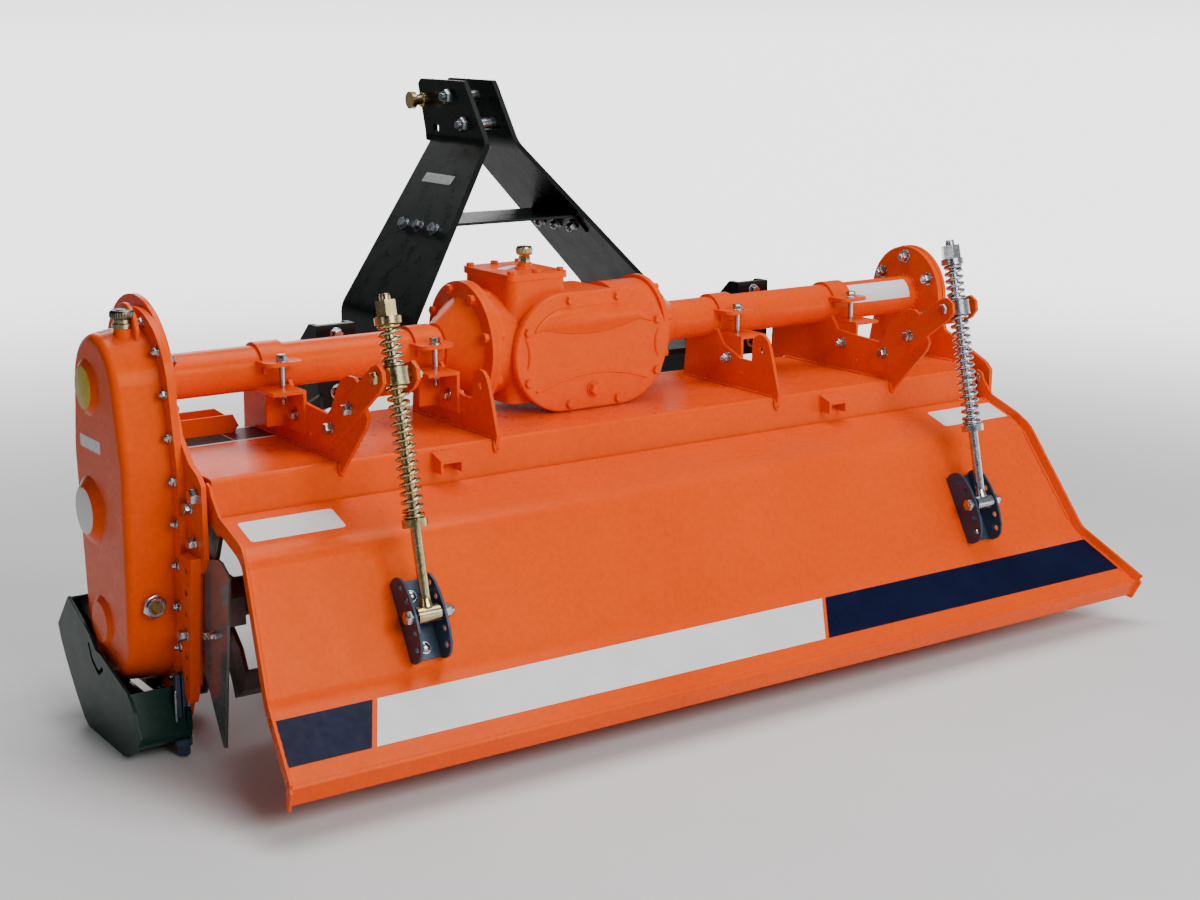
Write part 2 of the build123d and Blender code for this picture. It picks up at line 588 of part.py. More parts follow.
# --------------------------------------------------------------------- rotor
shaft = bar_x(ROTOR_X0, ROTOR_X1, 0, 0, ROTOR_TUBE_R)
shaft += bar_x(-1030, ROTOR_X0, 0, 0, 30) + bar_x(ROTOR_X1, RIGHT_PLATE_X + 12, 0, 0, 30)
flange_xs = [FLANGE_X0 + (FLANGE_X1 - FLANGE_X0) * i / (FLANGES - 1) for i in range(FLANGES)]
for x in flange_xs:
    shaft += bar_x(x - ROTOR_FLANGE_T / 2, x + ROTOR_FLANGE_T / 2, 0, 0, ROTOR_FLANGE_R)
node("rotor_shaft", shaft)


def blade(sign):
    """Curved tine on one face of a flange, with its foot bent away from the flange."""
    r = BLADE_TIP_R
    web = yz(
        [(-24, 52), (24, 52), (30, 96), (20, 150), (-6, 190), (-44, r - 12), (-92, r - 38), (-70, 150), (-44, 96)],
        0, BLADE_T,
    )
    toe_out = yz([(-6, 190), (-44, r - 12), (-92, r - 38), (-86, r - 45), (-42, r - 20.5), (-9, 182)], 1, BLADE_T + BLADE_FOOT)
    b = web + toe_out
    return b if sign > 0 else mirror_x(b)


right_blade, left_blade = blade(1), blade(-1)
tines = []
for i, x in enumerate(flange_xs):
    for k in range(BLADES_PER_FLANGE):
        sign = 1 if k % 2 == 0 else -1
        b = right_blade if sign > 0 else left_blade
        angle = 60 * k + 22.5 * i
        tines.append(Pos(x + sign * ROTOR_FLANGE_T / 2, 0, 0) * Rot(angle, 0, 0) * b)
node("rotor_blades", *tines)

# ------------------------------------------------------------- trailing board
board = bent_yz(BOARD, [70, 60], BOARD_T, -1100, 1080, shift=BOARD_T / 2)
lip_y, lip_z = BOARD[-1]
y1, y3 = BOARD[1][0], BOARD[-1][0]


def flare_outline(inset):
    l, r = BOARD_X0 + inset, BOARD_X1 - inset
    back = y3 - 60
    k = (back - y1) / (y3 - y1)
    return [(l, -200), (l, y1), (l - BOARD_FLARE_L * k, back), (r + BOARD_FLARE_R * k, back), (r, y1), (r, -200)]


board = board & xy(flare_outline(0), -300, 400)
# turned-down lower edge
low_edge = yz([(lip_y + 2, lip_z + 3), (lip_y - 5, lip_z - 2), (lip_y + 7, lip_z - 36), (lip_y + 13, lip_z - 33)], -1100, 1080)
board += low_edge & xy(flare_outline(0), -300, 400)
rib_line = [(-250, 247.0), BOARD[1], BOARD[2], (lip_y - 6, lip_z - 4)]
rib = bent_yz(rib_line, [70, 60], 28, -1100, 1080, shift=-4)
rib += yz([(lip_y - 6, lip_z + 9), (lip_y - 14, lip_z - 6), (lip_y + 4, lip_z - 44), (lip_y + 16, lip_z - 40), (lip_y + 14, lip_z - 10)], -1100, 1080)
lug_plate = yz(
    [(-240, 305), (-224, 299), (-218, 283), (-224, 266), (-244, 236), (-285, 214), (-300, 242), (-262, 283), (-256, 299)],
    -1100, 1080,
)
rib = rib + lug_plate
ends = xy(flare_outline(0), -300, 400) - xy(flare_outline(6), -301, 401)
ends -= box(-900, 900, -900, -100, -310, 410)
ribs = rib & ends
board += ribs
board -= bar_x(-1100, 1100, HINGE_Y, HINGE_Z, HINGE_R + 0.4)
node("trailing_board", board)

# U-brackets on the panel, drawn in the panel's own direction
py, pz = BOARD[2][0] - BOARD[1][0], BOARD[2][1] - BOARD[1][1]
pl = hypot(py, pz)
py, pz = py / pl, pz / pl
qy, qz = pz, -py                      # outward, away from the rotor


def on_panel(s, h):
    return (BOARD[1][0] + py * s + qy * h, BOARD[1][1] + pz * s + qz * h)


def bracket(x):
    base = yz([on_panel(98, 0), on_panel(248, 0), on_panel(248, 5), on_panel(98, 5)], x - 33, x + 33)
    cheek = [
        on_panel(s, h)
        for s, h in (
            (98, 1), (248, 1), (254, 14), (254, 30), (247, 44), (232, 54), (206, 61), (173, 64), (140, 61), (114, 54),
            (99, 44), (92, 30), (92, 14),
        )
    ]
    b = base + yz(cheek, x - 33, x - 28) + yz(cheek, x + 28, x + 33)
    for along_s, up in ((113, 36), (142, 45), (204, 45), (233, 36)):
        hy, hz = on_panel(along_s, up)
        b -= bar_x(x - 40, x + 40, hy, hz, 6.5)
    return b - bar_x(x - 40, x + 40, EYE_Y, EYE_Z, 7.3)


node("board_brackets", bracket(ROD_X["left"]), bracket(ROD_X["right"]))


def eye_bolt(x):
    return bar_x(x - 46, x + 46, EYE_Y, EYE_Z, 7) + bar_x(x - 44, x - 33.2, EYE_Y, EYE_Z, 12) + bar_x(x + 33.2, x + 44, EYE_Y, EYE_Z, 12)


node("board_eye_bolts", eye_bolt(ROD_X["left"]), eye_bolt(ROD_X["right"]))

# ------------------------------------------------------------- spring rods
lean = atan2(FORK_Y - EYE_Y, FORK_Z - EYE_Z)
reach = hypot(FORK_Y - EYE_Y, FORK_Z - EYE_Z)


def along(x, d0, d1, r):
    """A round piece on the rod's line, from d0 to d1 above the eye."""
    m = (d0 + d1) / 2
    return Pos(x, EYE_Y + sin(lean) * m, EYE_Z + cos(lean) * m) * Rot(-lean * 180 / pi, 0, 0) * Cylinder(r, d1 - d0)


def hex_along(x, d0, d1, flats):
    m = d0
    plane = Pos(x, EYE_Y + sin(lean) * m, EYE_Z + cos(lean) * m) * Rot(-lean * 180 / pi, 0, 0)
    return plane * extrude(RegularPolygon(flats / 2, 6, major_radius=False), amount=d1 - d0)


for name, x in ROD_X.items():
    rod = along(x, 12, 580, ROD_R) + bar_x(x - 23, x + 23, EYE_Y, EYE_Z, 16)
    rod += along(x, 160, 175, 24) + along(x, 529, 542, 25) + hex_along(x, 542, 572, 36)
    rod -= bar_x(x - 30, x + 30, EYE_Y, EYE_Z, 10.5)
    node("spring_rod_" + name, rod)
    ring = along(x, reach - 16, reach + 16, 27) + bar_x(x - 38, x + 38, FORK_Y, FORK_Z, 7)
    ring -= along(x, reach - 60, reach + 60, ROD_R + 0.6)
    node("rod_trunnion_" + name, ring)
    node("lower_spring_" + name, along(x, 176, reach - 17, 21.5) - along(x, 170, reach - 10, 14.5))
    node("upper_spring_" + name, along(x, reach + 17, 528, 21.5) - along(x, reach + 10, 540, 14.5))

# --------------------------------------------------------------------- write
os.makedirs("parts", exist_ok=True)
for old in os.listdir("parts"):
    if old.endswith(".step") and old[:-5] not in NODES:
        os.remove(os.path.join("parts", old))
low, high = [1e9] * 3, [-1e9] * 3
for name, found in NODES.items():
    moved = [s.translate((-CENTRE_X, -CENTRE_Y, -FLOOR_Z)) for s in found]
    for s in moved:
        b = s.bounding_box()
        for i, (a, c) in enumerate(((b.min.X, b.max.X), (b.min.Y, b.max.Y), (b.min.Z, b.max.Z))):
            low[i], high[i] = min(low[i], a), max(high[i], c)
    shape = moved[0] if len(moved) == 1 else Compound(children=moved)
    shape.label = name
    export_step(shape, os.path.join("parts", name + ".step"))
print("box", [round(v, 2) for v in low], [round(v, 2) for v in high])
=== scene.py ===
import bpy, bmesh, math
from mathutils import Vector, Matrix


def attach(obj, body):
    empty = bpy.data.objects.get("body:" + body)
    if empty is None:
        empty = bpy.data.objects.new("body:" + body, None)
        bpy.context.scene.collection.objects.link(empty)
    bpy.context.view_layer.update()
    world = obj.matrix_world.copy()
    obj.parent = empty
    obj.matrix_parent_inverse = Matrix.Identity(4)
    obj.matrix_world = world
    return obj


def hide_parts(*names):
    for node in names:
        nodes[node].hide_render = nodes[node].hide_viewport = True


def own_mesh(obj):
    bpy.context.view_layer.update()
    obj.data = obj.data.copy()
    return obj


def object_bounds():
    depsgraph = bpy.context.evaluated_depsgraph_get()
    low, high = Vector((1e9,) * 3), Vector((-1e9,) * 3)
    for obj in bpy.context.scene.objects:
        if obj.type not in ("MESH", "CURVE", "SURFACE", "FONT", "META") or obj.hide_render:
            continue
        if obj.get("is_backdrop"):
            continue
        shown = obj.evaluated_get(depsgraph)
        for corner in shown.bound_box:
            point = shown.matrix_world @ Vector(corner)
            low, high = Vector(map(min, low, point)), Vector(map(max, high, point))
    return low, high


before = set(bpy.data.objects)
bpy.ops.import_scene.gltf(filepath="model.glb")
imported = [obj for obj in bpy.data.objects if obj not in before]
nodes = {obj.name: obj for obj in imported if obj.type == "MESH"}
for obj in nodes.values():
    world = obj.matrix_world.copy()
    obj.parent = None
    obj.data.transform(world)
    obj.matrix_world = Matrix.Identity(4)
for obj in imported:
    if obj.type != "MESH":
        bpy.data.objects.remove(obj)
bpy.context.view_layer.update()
scene = bpy.context.scene

# drawing frame (mm, about the rotor axis) to the row's frame (m)
OX, OY, OZ = 54.73, 29.67, 230.0


def P(x, y, z):
    return Vector(((x + OX) / 1000, (y + OY) / 1000, (z + OZ) / 1000))


# ------------------------------------------------------------------ materials
def new_material(name):
    m = bpy.data.materials.new(name)
    m.use_nodes = True
    t = m.node_tree
    b = t.nodes["Principled BSDF"]
    return m, t, b


def ramp(t, fac, stops):
    r = t.nodes.new("ShaderNodeValToRGB")
    r.color_ramp.elements[0].position = stops[0][0]
    r.color_ramp.elements[0].color = (*stops[0][1], 1)
    r.color_ramp.elements[1].position = stops[-1][0]
    r.color_ramp.elements[1].color = (*stops[-1][1], 1)
    for p, c in stops[1:-1]:
        e = r.color_ramp.elements.new(p)
        e.color = (*c, 1)
    t.links.new(fac, r.inputs["Fac"])
    return r.outputs["Color"]


def noise(t, coord, scale, detail=3.0, rough=0.55, distort=0.0):
    n = t.nodes.new("ShaderNodeTexNoise")
    n.inputs["Scale"].default_value = scale
    n.inputs["Detail"].default_value = detail
    n.inputs["Roughness"].default_value = rough
    n.inputs["Distortion"].default_value = distort
    t.links.new(coord, n.inputs["Vector"])
    return n.outputs["Fac"]


def mix(t, fac, a, b, kind="MIX"):
    m = t.nodes.new("ShaderNodeMix")
    m.data_type = "RGBA"
    m.blend_type = kind
    if isinstance(fac, float):
        m.inputs["Factor"].default_value = fac
    else:
        t.links.new(fac, m.inputs["Factor"])
    for socket, v in ((6, a), (7, b)):
        if isinstance(v, tuple):
            m.inputs[socket].default_value = (*v, 1)
        else:
            t.links.new(v, m.inputs[socket])
    return m.outputs[2]


def grey(v):
    return (v, v, v)


def coords(t):
    return t.nodes.new("ShaderNodeTexCoord").outputs["Object"]


def bumped(t, b, height, strength, distance, bevel=0.0):
    n = t.nodes.new("ShaderNodeBump")
    n.inputs["Strength"].default_value = strength
    n.inputs["Distance"].default_value = distance
    t.links.new(height, n.inputs["Height"])
    if bevel:
        v = t.nodes.new("ShaderNodeBevel")
        v.samples = 6
        v.inputs["Radius"].default_value = bevel
        t.links.new(v.outputs["Normal"], n.inputs["Normal"])
    t.links.new(n.outputs["Normal"], b.inputs["Normal"])


def paint(name, light, dark, rough, coat, peel=0.06, bevel=0.0018, dust=0.0, spec=0.5, tint=(1, 1, 1)):
    """Sprayed enamel: slow colour drift, fine orange peel, a little dust in the sheen."""
    m, t, b = new_material(name)
    c = coords(t)
    slow = noise(t, c, 3.0, 4.0)
    col = ramp(t, slow, [(0.3, dark), (0.7, light)])
    fine = noise(t, c, 90.0, 2.0)
    speck = ramp(t, fine, [(0.35, grey(0.93)), (0.65, grey(1.0))])
    col = mix(t, 1.0, col, speck, "MULTIPLY")
    if dust:
        d = noise(t, c, 14.0, 6.0, 0.7)
        df = ramp(t, d, [(0.5, grey(0.0)), (0.85, grey(dust))])
        col = mix(t, df, col, (0.42, 0.38, 0.33))
    t.links.new(col, b.inputs["Base Color"])
    rr = noise(t, c, 25.0, 4.0)
    t.links.new(ramp(t, rr, [(0.3, grey(rough * 0.8)), (0.75, grey(rough * 1.25))]), b.inputs["Roughness"])
    b.inputs["Coat Weight"].default_value = coat
    b.inputs["Coat Roughness"].default_value = 0.12
    b.inputs["Specular IOR Level"].default_value = spec
    b.inputs["Specular Tint"].default_value = (*tint, 1)
    bumped(t, b, noise(t, c, 420.0, 2.0), peel, 0.0006, bevel)
    return m


def metal(name, light, dark, rough, bevel=0.0008, tint=None, scale=60.0, bump=0.05):
    """Plated or bare steel with drifting sheen, fine handling marks and grime."""
    m, t, b = new_material(name)
    c = coords(t)
    n1 = noise(t, c, scale, 4.0)
    col = ramp(t, n1, [(0.3, dark), (0.7, light)])
    if tint:
        n2 = noise(t, c, scale * 0.35, 3.0, 0.6, 0.6)
        tf = ramp(t, n2, [(0.42, grey(0.0)), (0.7, grey(0.75))])
        col = mix(t, tf, col, tint)
    t.links.new(col, b.inputs["Base Color"])
    b.inputs["Metallic"].default_value = 1.0
    rr = noise(t, c, scale * 2.2, 4.0)
    t.links.new(ramp(t, rr, [(0.3, grey(rough * 0.75)), (0.75, grey(rough * 1.35))]), b.inputs["Roughness"])
    bumped(t, b, noise(t, c, 900.0, 2.0), bump, 0.0003, bevel)
    return m


ORANGE = paint("orange_enamel", (0.88, 0.080, 0.0), (0.80, 0.068, 0.0), 0.30, 0.02, spec=0.26, tint=(1.0, 0.40, 0.08))
BLACK = paint("black_enamel", (0.005, 0.009, 0.008), (0.003, 0.005, 0.0045), 0.30, 0.03, dust=0.02, spec=0.13)
SKID = paint("skid_enamel", (0.006, 0.034, 0.025), (0.004, 0.024, 0.018), 0.24, 0.02, dust=0.01, spec=0.11)
ROTOR = paint("rotor_enamel", (0.020, 0.022, 0.024), (0.012, 0.013, 0.014), 0.45, 0.1, dust=0.10)
BRACKET = paint("bracket_enamel", (0.032, 0.058, 0.100), (0.022, 0.042, 0.075), 0.36, 0.12, bevel=0.0012, spec=0.35)
GUARD = paint("guard_enamel", (0.120, 0.130, 0.132), (0.090, 0.098, 0.100), 0.18, 0.6)
PLASTIC = paint("black_plastic", (0.020, 0.022, 0.022), (0.014, 0.015, 0.015), 0.5, 0.0, peel=0.15)
BLADE = metal("blade_steel", (0.20, 0.20, 0.21), (0.10, 0.10, 0.105), 0.45, tint=(0.13, 0.09, 0.06), scale=25.0, bump=0.2)
ZINC = metal("bright_zinc", (0.56, 0.58, 0.61), (0.36, 0.38, 0.42), 0.24)
GOLD = metal("yellow_zinc", (0.60, 0.47, 0.22), (0.40, 0.31, 0.14), 0.24, tint=(0.42, 0.44, 0.32))
STEEL = metal("machined_steel", (0.62, 0.62, 0.63), (0.48, 0.48, 0.49), 0.22)
DARKCAP = metal("dark_plating", (0.20, 0.19, 0.15), (0.08, 0.085, 0.08), 0.30, tint=(0.30, 0.24, 0.12))


def glass_material():
    m, t, b = new_material("sight_glass")
    c = coords(t)
    col = ramp(t, noise(t, c, 120.0, 2.0), [(0.35, (0.10, 0.055, 0.012)), (0.7, (0.26, 0.16, 0.04))])
    t.links.new(col, b.inputs["Base Color"])
    b.inputs["Roughness"].default_value = 0.06
    b.inputs["Coat Weight"].default_value = 1.0
    b.inputs["Coat Roughness"].default_value = 0.03
    return m


SIGHT = glass_material()



def label(name, light, dark, rough=0.32, spec=0.25):
    """Printed film: even colour with faint handling marks and a soft sheen."""
    m, t, b = new_material(name)
    c = coords(t)
    col = ramp(t, noise(t, c, 12.0, 4.0), [(0.3, dark), (0.7, light)])
    t.links.new(col, b.inputs["Base Color"])
    rr = noise(t, c, 60.0, 3.0)
    t.links.new(ramp(t, rr, [(0.3, grey(rough * 0.8)), (0.7, grey(rough * 1.2))]), b.inputs["Roughness"])
    b.inputs["Specular IOR Level"].default_value = spec
    bumped(t, b, noise(t, c, 300.0, 2.0), 0.03, 0.0003)
    return m


LABEL_WHITE = label("film_white", (0.80, 0.80, 0.80), (0.74, 0.745, 0.75))
LABEL_NAVY = label("film_navy", (0.005, 0.008, 0.034), (0.003, 0.005, 0.024), spec=0.07)
LABEL_YELLOW = label("film_yellow", (0.62, 0.44, 0.03), (0.55, 0.38, 0.02))
LABEL_TEAL = label("film_teal", (0.020, 0.060, 0.055), (0.012, 0.035, 0.035), spec=0.06)
LABEL_MAROON = label("film_maroon", (0.085, 0.018, 0.020), (0.055, 0.012, 0.014), spec=0.06)
PLATE_SILVER = metal("plate_silver", (0.62, 0.63, 0.64), (0.52, 0.53, 0.54), 0.35)
DARKZINC = metal("dark_zinc", (0.26, 0.30, 0.32), (0.14, 0.17, 0.19), 0.30)

NODE_MATERIAL = {
    ORANGE: [
        "main_tube_left", "main_tube_right", "gearbox_housing", "gearbox_rear_cover", "gearbox_top_cover", "gear_case",
        "left_side_plate", "right_side_plate", "rotor_hub_left", "rotor_hub_right", "hood", "inner_support_plates",
        "outer_support_plates", "tube_clamps", "clamp_brackets", "spring_fork_arms", "trailing_board",
    ],
    BLACK: ["mast_left", "mast_right", "mast_brace", "lower_hitch_left", "lower_hitch_right"],
    SKID: ["skid_left", "skid_right"],
    ROTOR: ["rotor_shaft"],
    BLADE: ["rotor_blades"],
    ZINC: [
        "mast_spacers", "lower_hitch_pin_left", "lower_hitch_pin_right", "board_hinge_pins", "board_eye_bolts",
        "spring_rod_right", "rod_trunnion_right", "lower_spring_right", "upper_spring_right",
    ],
    GOLD: ["top_link_pin", "spring_rod_left", "rod_trunnion_left", "lower_spring_left", "upper_spring_left"],
    BRACKET: ["board_brackets"],
    GUARD: ["side_guards"],
    STEEL: ["pto_shaft"],
    PLASTIC: ["pto_guard"],
    DARKCAP: ["gear_case_filler_cap", "gearbox_breather"],
    SIGHT: ["gear_case_oil_sight"],
}
for material, names in NODE_MATERIAL.items():
    for n in names:
        o = nodes[n]
        o.data.materials.clear()
        o.data.materials.append(material)

# ------------------------------------------------------------------ small shapes
def basis(axis):
    a = Vector(axis).normalized()
    ref = Vector((0, 0, 1)) if abs(a.z) < 0.9 else Vector((0, 1, 0))
    u = ref.cross(a).normalized()
    return u, a.cross(u), a


class Kit:
    """Gathers many small shapes into one mesh. Lengths are millimetres in the drawing frame."""

    def __init__(self):
        self.verts, self.faces = [], []

    def add(self, verts, faces):
        n = len(self.verts)
        self.verts += [P(*v) for v in verts]
        self.faces += [[n + i for i in f] for f in faces]

    def lathe(self, o, axis, profile, sides=20, turn=0.0):
        """A turned shape: profile is (distance along the axis, radius) from the bottom to the top."""
        u, v, a = basis(axis)
        o = Vector(o)
        verts, faces, rings = [], [], []
        for h, r in profile:
            if r < 1e-6:
                rings.append([len(verts)])
                verts.append(o + a * h)
            else:
                rings.append(list(range(len(verts), len(verts) + sides)))
                for i in range(sides):
                    t = turn + 2 * math.pi * i / sides
                    verts.append(o + a * h + (u * math.cos(t) + v * math.sin(t)) * r)
        for p, q in zip(rings, rings[1:]):
            for i in range(sides):
                j = (i + 1) % sides
                if len(p) == 1 and len(q) == 1:
                    continue
                if len(p) == 1:
                    faces.append([p[0], q[j], q[i]][::-1])
                elif len(q) == 1:
                    faces.append([p[i], p[j], q[0]])
                else:
                    faces.append([p[i], p[j], q[j], q[i]])
        if len(rings[0]) > 1:
            faces.append(rings[0][::-1])
        if len(rings[-1]) > 1:
            faces.append(rings[-1])
        self.add(verts, faces)

    def washer(self, o, axis, r, t=2.4):
        self.lathe(o, axis, [(0, r), (t - 0.5, r), (t, r - 0.6)], 22)

    def hexagon(self, o, axis, af, h0, h1, turn=0.0):
        r = af / math.sqrt(3)
        c = af * 0.5 * 1.02
        d = min((h1 - h0) * 0.18, af * 0.08)
        self.lathe(o, axis, [(h0, r), (h1 - d, r), (h1, c)], 6, turn)

    def thread(self, o, axis, r, h0, h1, pitch=2.0, sides=14):
        prof, h = [(h0, r)], h0
        while h + pitch < h1 - 1:
            prof += [(h + pitch * 0.5, r - 0.8), (h + pitch, r)]
            h += pitch
        prof += [(h1 - 1, r - 0.4), (h1, r - 1.4)]
        self.lathe(o, axis, prof, sides)

    def bolt(self, o, axis, af, washer=True, turn=0.3, stud=0.0, h=None):
        """A hexagon head or nut on its washer, seated on the face at o."""
        b = 0.0
        if washer:
            self.washer(o, axis, af * 0.72)
            b = 2.4
        h = h or af * 0.62
        self.hexagon(o, axis, af, b, b + h, turn)
        if stud:
            self.thread(o, axis, af * 0.31, b + h, b + h + stud)

    def dome_nut(self, o, axis, af, turn=0.2):
        self.lathe(o, axis, [(0, af * 0.78), (1.6, af * 0.78), (2.6, af * 0.66)], 22)
        self.hexagon(o, axis, af, 2.2, af * 0.5, turn)
        r = af * 0.45
        prof = [(af * 0.5 - 0.5, r)] + [
            (af * 0.5 + r * 0.8 * math.sin(t), r * math.cos(t)) for t in (0.35, 0.7, 1.05, 1.35)
        ] + [(af * 0.5 + r * 0.8, 0)]
        self.lathe(o, axis, prof, 16)

    def plate(self, outline, o, u, v, n, t, edge=0.8):
        """A flat sheet: outline in (u, v) from o, thickness t along n, with broken edges."""
        o, u, v, n = Vector(o), Vector(u), Vector(v), Vector(n)
        k = len(outline)
        area = sum(outline[i][0] * outline[(i + 1) % k][1] - outline[(i + 1) % k][0] * outline[i][1] for i in range(k))
        pts = outline if area > 0 else outline[::-1]

        def inset(d):
            out = []
            for i in range(k):
                a, b, c = Vector(pts[i - 1]), Vector(pts[i]), Vector(pts[(i + 1) % k])
                e1, e2 = (b - a).normalized(), (c - b).normalized()
                n1, n2 = Vector((-e1.y, e1.x)), Vector((-e2.y, e2.x))
                m = n1 + n2
                m = m / max(m.dot(n1), 0.35)
                out.append(b + m * d)
            return out

        e = min(edge, t * 0.4)
        layers = [(0, inset(e)), (e, [Vector(p) for p in pts]), (t - e, [Vector(p) for p in pts]), (t, inset(e))]
        verts, faces = [], []
        for h, ps in layers:
            verts += [o + u * p.x + v * p.y + n * h for p in ps]
        flip = u.cross(v).dot(n) < 0
        for l in range(3):
            for i in range(k):
                j = (i + 1) % k
                f = [l * k + i, l * k + j, (l + 1) * k + j, (l + 1) * k + i]
                faces.append(f[::-1] if flip else f)
        bottom, top = list(range(k))[::-1], list(range(3 * k, 4 * k))
        faces += [bottom[::-1], top[::-1]] if flip else [bottom, top]
        self.add(verts, faces)

    def block(self, x0, x1, y0, y1, z0, z1, edge=0.8):
        self.plate([(x0, y0), (x1, y0), (x1, y1), (x0, y1)], (0, 0, z0), (1, 0, 0), (0, 1, 0), (0, 0, 1), z1 - z0, edge)

    def sweep(self, path, radii, sides=10, closed=False):
        """A round bar of changing radius along a path."""
        path = [Vector(p) for p in path]
        verts, faces = [], []
        ref = None
        for i, p in enumerate(path):
            d = (path[min(i + 1, len(path) - 1)] - path[max(i - 1, 0)]).normalized()
            if ref is None:
                ref = basis(d)[0]
            ref = (ref - d * ref.dot(d)).normalized()
            w = d.cross(ref)
            for s in range(sides):
                t = 2 * math.pi * s / sides
                verts.append(p + (ref * math.cos(t) + w * math.sin(t)) * radii[i])
        for i in range(len(path) - 1):
            for s in range(sides):
                q = (s + 1) % sides
                faces.append([i * sides + s, i * sides + q, (i + 1) * sides + q, (i + 1) * sides + s])
        faces.append(list(range(sides))[::-1])
        faces.append(list(range((len(path) - 1) * sides, len(path) * sides)))
        self.add(verts, faces)

    def weld(self, a, b, r=3.2, pitch=4.5):
        """A rippled bead from a to b."""
        a, b = Vector(a), Vector(b)
        length = (b - a).length
        n = max(6, int(length / (pitch / 3)))
        path, radii = [], []
        for i in range(n + 1):
            s = length * i / n
            wob = 0.35 * math.sin(s * 0.37) + 0.25 * math.sin(s * 0.11 + 1.0)
            path.append(a + (b - a) * (i / n) + Vector((wob * 0.5, wob * 0.4, wob)))
            end = min(1.0, 0.35 + min(s, length - s) / (2.5 * r))
            radii.append((r + 0.55 * abs(math.sin(math.pi * s / pitch)) + 0.3 * wob) * end)
        self.sweep(path, radii, 8)

    def make(self, name, body, material, slot=None, angle=38, replaces=()):
        mesh = bpy.data.meshes.new(name)
        mesh.from_pydata([tuple(v) for v in self.verts], [], self.faces)
        mesh.validate()
        bm = bmesh.new()
        bm.from_mesh(mesh)
        bmesh.ops.recalc_face_normals(bm, faces=bm.faces)
        bm.to_mesh(mesh)
        bm.free()
        for p in mesh.polygons:
            p.use_smooth = True
        mesh.set_sharp_from_angle(angle=math.radians(angle))
        mesh.materials.append(material)
        o = bpy.data.objects.new(name, mesh)
        scene.collection.objects.link(o)
        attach(o, body)
        if replaces:
            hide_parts(*replaces)
        return o


# -------------------------------------------------------------- drawing numbers
XS = -45.0
TUBE_Y, TUBE_Z, TUBE_R = 16.0, 454.0, 44.45
LEFT_X, LEFT_IN, RIGHT_X = -1040.0, -1030.0, 946.0
PLATES = {"ol": XS - 702, "il": XS - 360, "ir": XS + 360, "or": XS + 702}
CLAMPS = {"ol": XS - 732, "il": XS - 392, "ir": XS + 392, "or": XS + 732}
ROD_X = {"left": -720.0, "right": 684.0}
EYE = Vector((0, -513.0, 74.0))
FORK = Vector((0, -414.0, 497.0))
ROD_U = (FORK - EYE).normalized()
REACH = (FORK - EYE).length


def on_arm(s, p):
    return FORK.y + 0.82 * s + 0.5724 * p, FORK.z - 0.5724 * s + 0.82 * p


def ring_path(circles, step):
    """Points spaced evenly round the outline that wraps the circles (y, z, r)."""
    pts = []
    for y, z, r in circles:
        for i in range(180):
            t = 2 * math.pi * i / 180
            pts.append((y + r * math.cos(t), z + r * math.sin(t)))
    pts.sort()

    def half(seq):
        out = []
        for p in seq:
            while len(out) > 1 and (out[-1][0] - out[-2][0]) * (p[1] - out[-2][1]) - (out[-1][1] - out[-2][1]) * (p[0] - out[-2][0]) <= 0:
                out.pop()
            out.append(p)
        return out

    hull = half(pts)[:-1] + half(pts[::-1])[:-1]
    lengths = [math.dist(hull[i], hull[(i + 1) % len(hull)]) for i in range(len(hull))]
    total = sum(lengths)
    n = round(total / step)
    out = []
    for k in range(n):
        s = total * k / n
        i = 0
        while s > lengths[i]:
            s -= lengths[i]
            i += 1
        a, b = hull[i], hull[(i + 1) % len(hull)]
        f = s / lengths[i]
        out.append((a[0] + (b[0] - a[0]) * f, a[1] + (b[1] - a[1]) * f))
    return out


# ------------------------------------------------------------- fasteners, frame
zinc, painted, blackb = Kit(), Kit(), Kit()

# gear case rim
for i, (y, z) in enumerate(ring_path([(-18, 452, 134), (-24, 300, 152), (-24, 6, 143)], 80)):
    zinc.dome_nut((-1054, y, z), (-1, 0, 0), 15, 0.3 * i)
# tube end flanges
for k in range(6):
    t = math.radians(30 + 60 * k)
    zinc.bolt((LEFT_IN + 15, TUBE_Y + 92 * math.cos(t), TUBE_Z + 92 * math.sin(t)), (1, 0, 0), 22, True, k, 5)
    zinc.bolt((RIGHT_X - 15, TUBE_Y + 92 * math.cos(t), TUBE_Z + 92 * math.sin(t)), (-1, 0, 0), 22, True, k, 5)
    zinc.bolt((RIGHT_X + 10, TUBE_Y + 92 * math.cos(t), TUBE_Z + 92 * math.sin(t)), (1, 0, 0), 22, True, k)
# bell flanges
for k in range(8):
    t = math.radians(30 + 45 * k)
    painted.bolt((-334, TUBE_Y + 118 * math.cos(t), TUBE_Z + 118 * math.sin(t)), (-1, 0, 0), 18, False, k)
    painted.bolt((-310, TUBE_Y + 122 * math.cos(t), TUBE_Z + 122 * math.sin(t)), (1, 0, 0), 18, False, k)
    painted.bolt((130, TUBE_Y + 103.5 * math.cos(t), TUBE_Z + 103.5 * math.sin(t)), (1, 0, 0), 15, False, k)
# rear cover
for x, z in ((-142, 546), (-21, 546), (84, 487), (83, 376), (-19, 326), (-143, 326), (-245, 381), (-245, 487)):
    painted.bolt((x, -112, z), (0, -1, 0), 17, False, 0.4 + x * 0.01, h=8)
painted.washer((-82, -112, 352), (0, -1, 0), 17, 3)
painted.hexagon((-82, -112, 352), (0, -1, 0), 24, 3, 15, 0.2)
# top cover
for x in (-256, -196, -136):
    for y in (-66, 100):
        painted.bolt((x, y, 604), (0, 0, 1), 15, False, 0.1 * x, h=7)
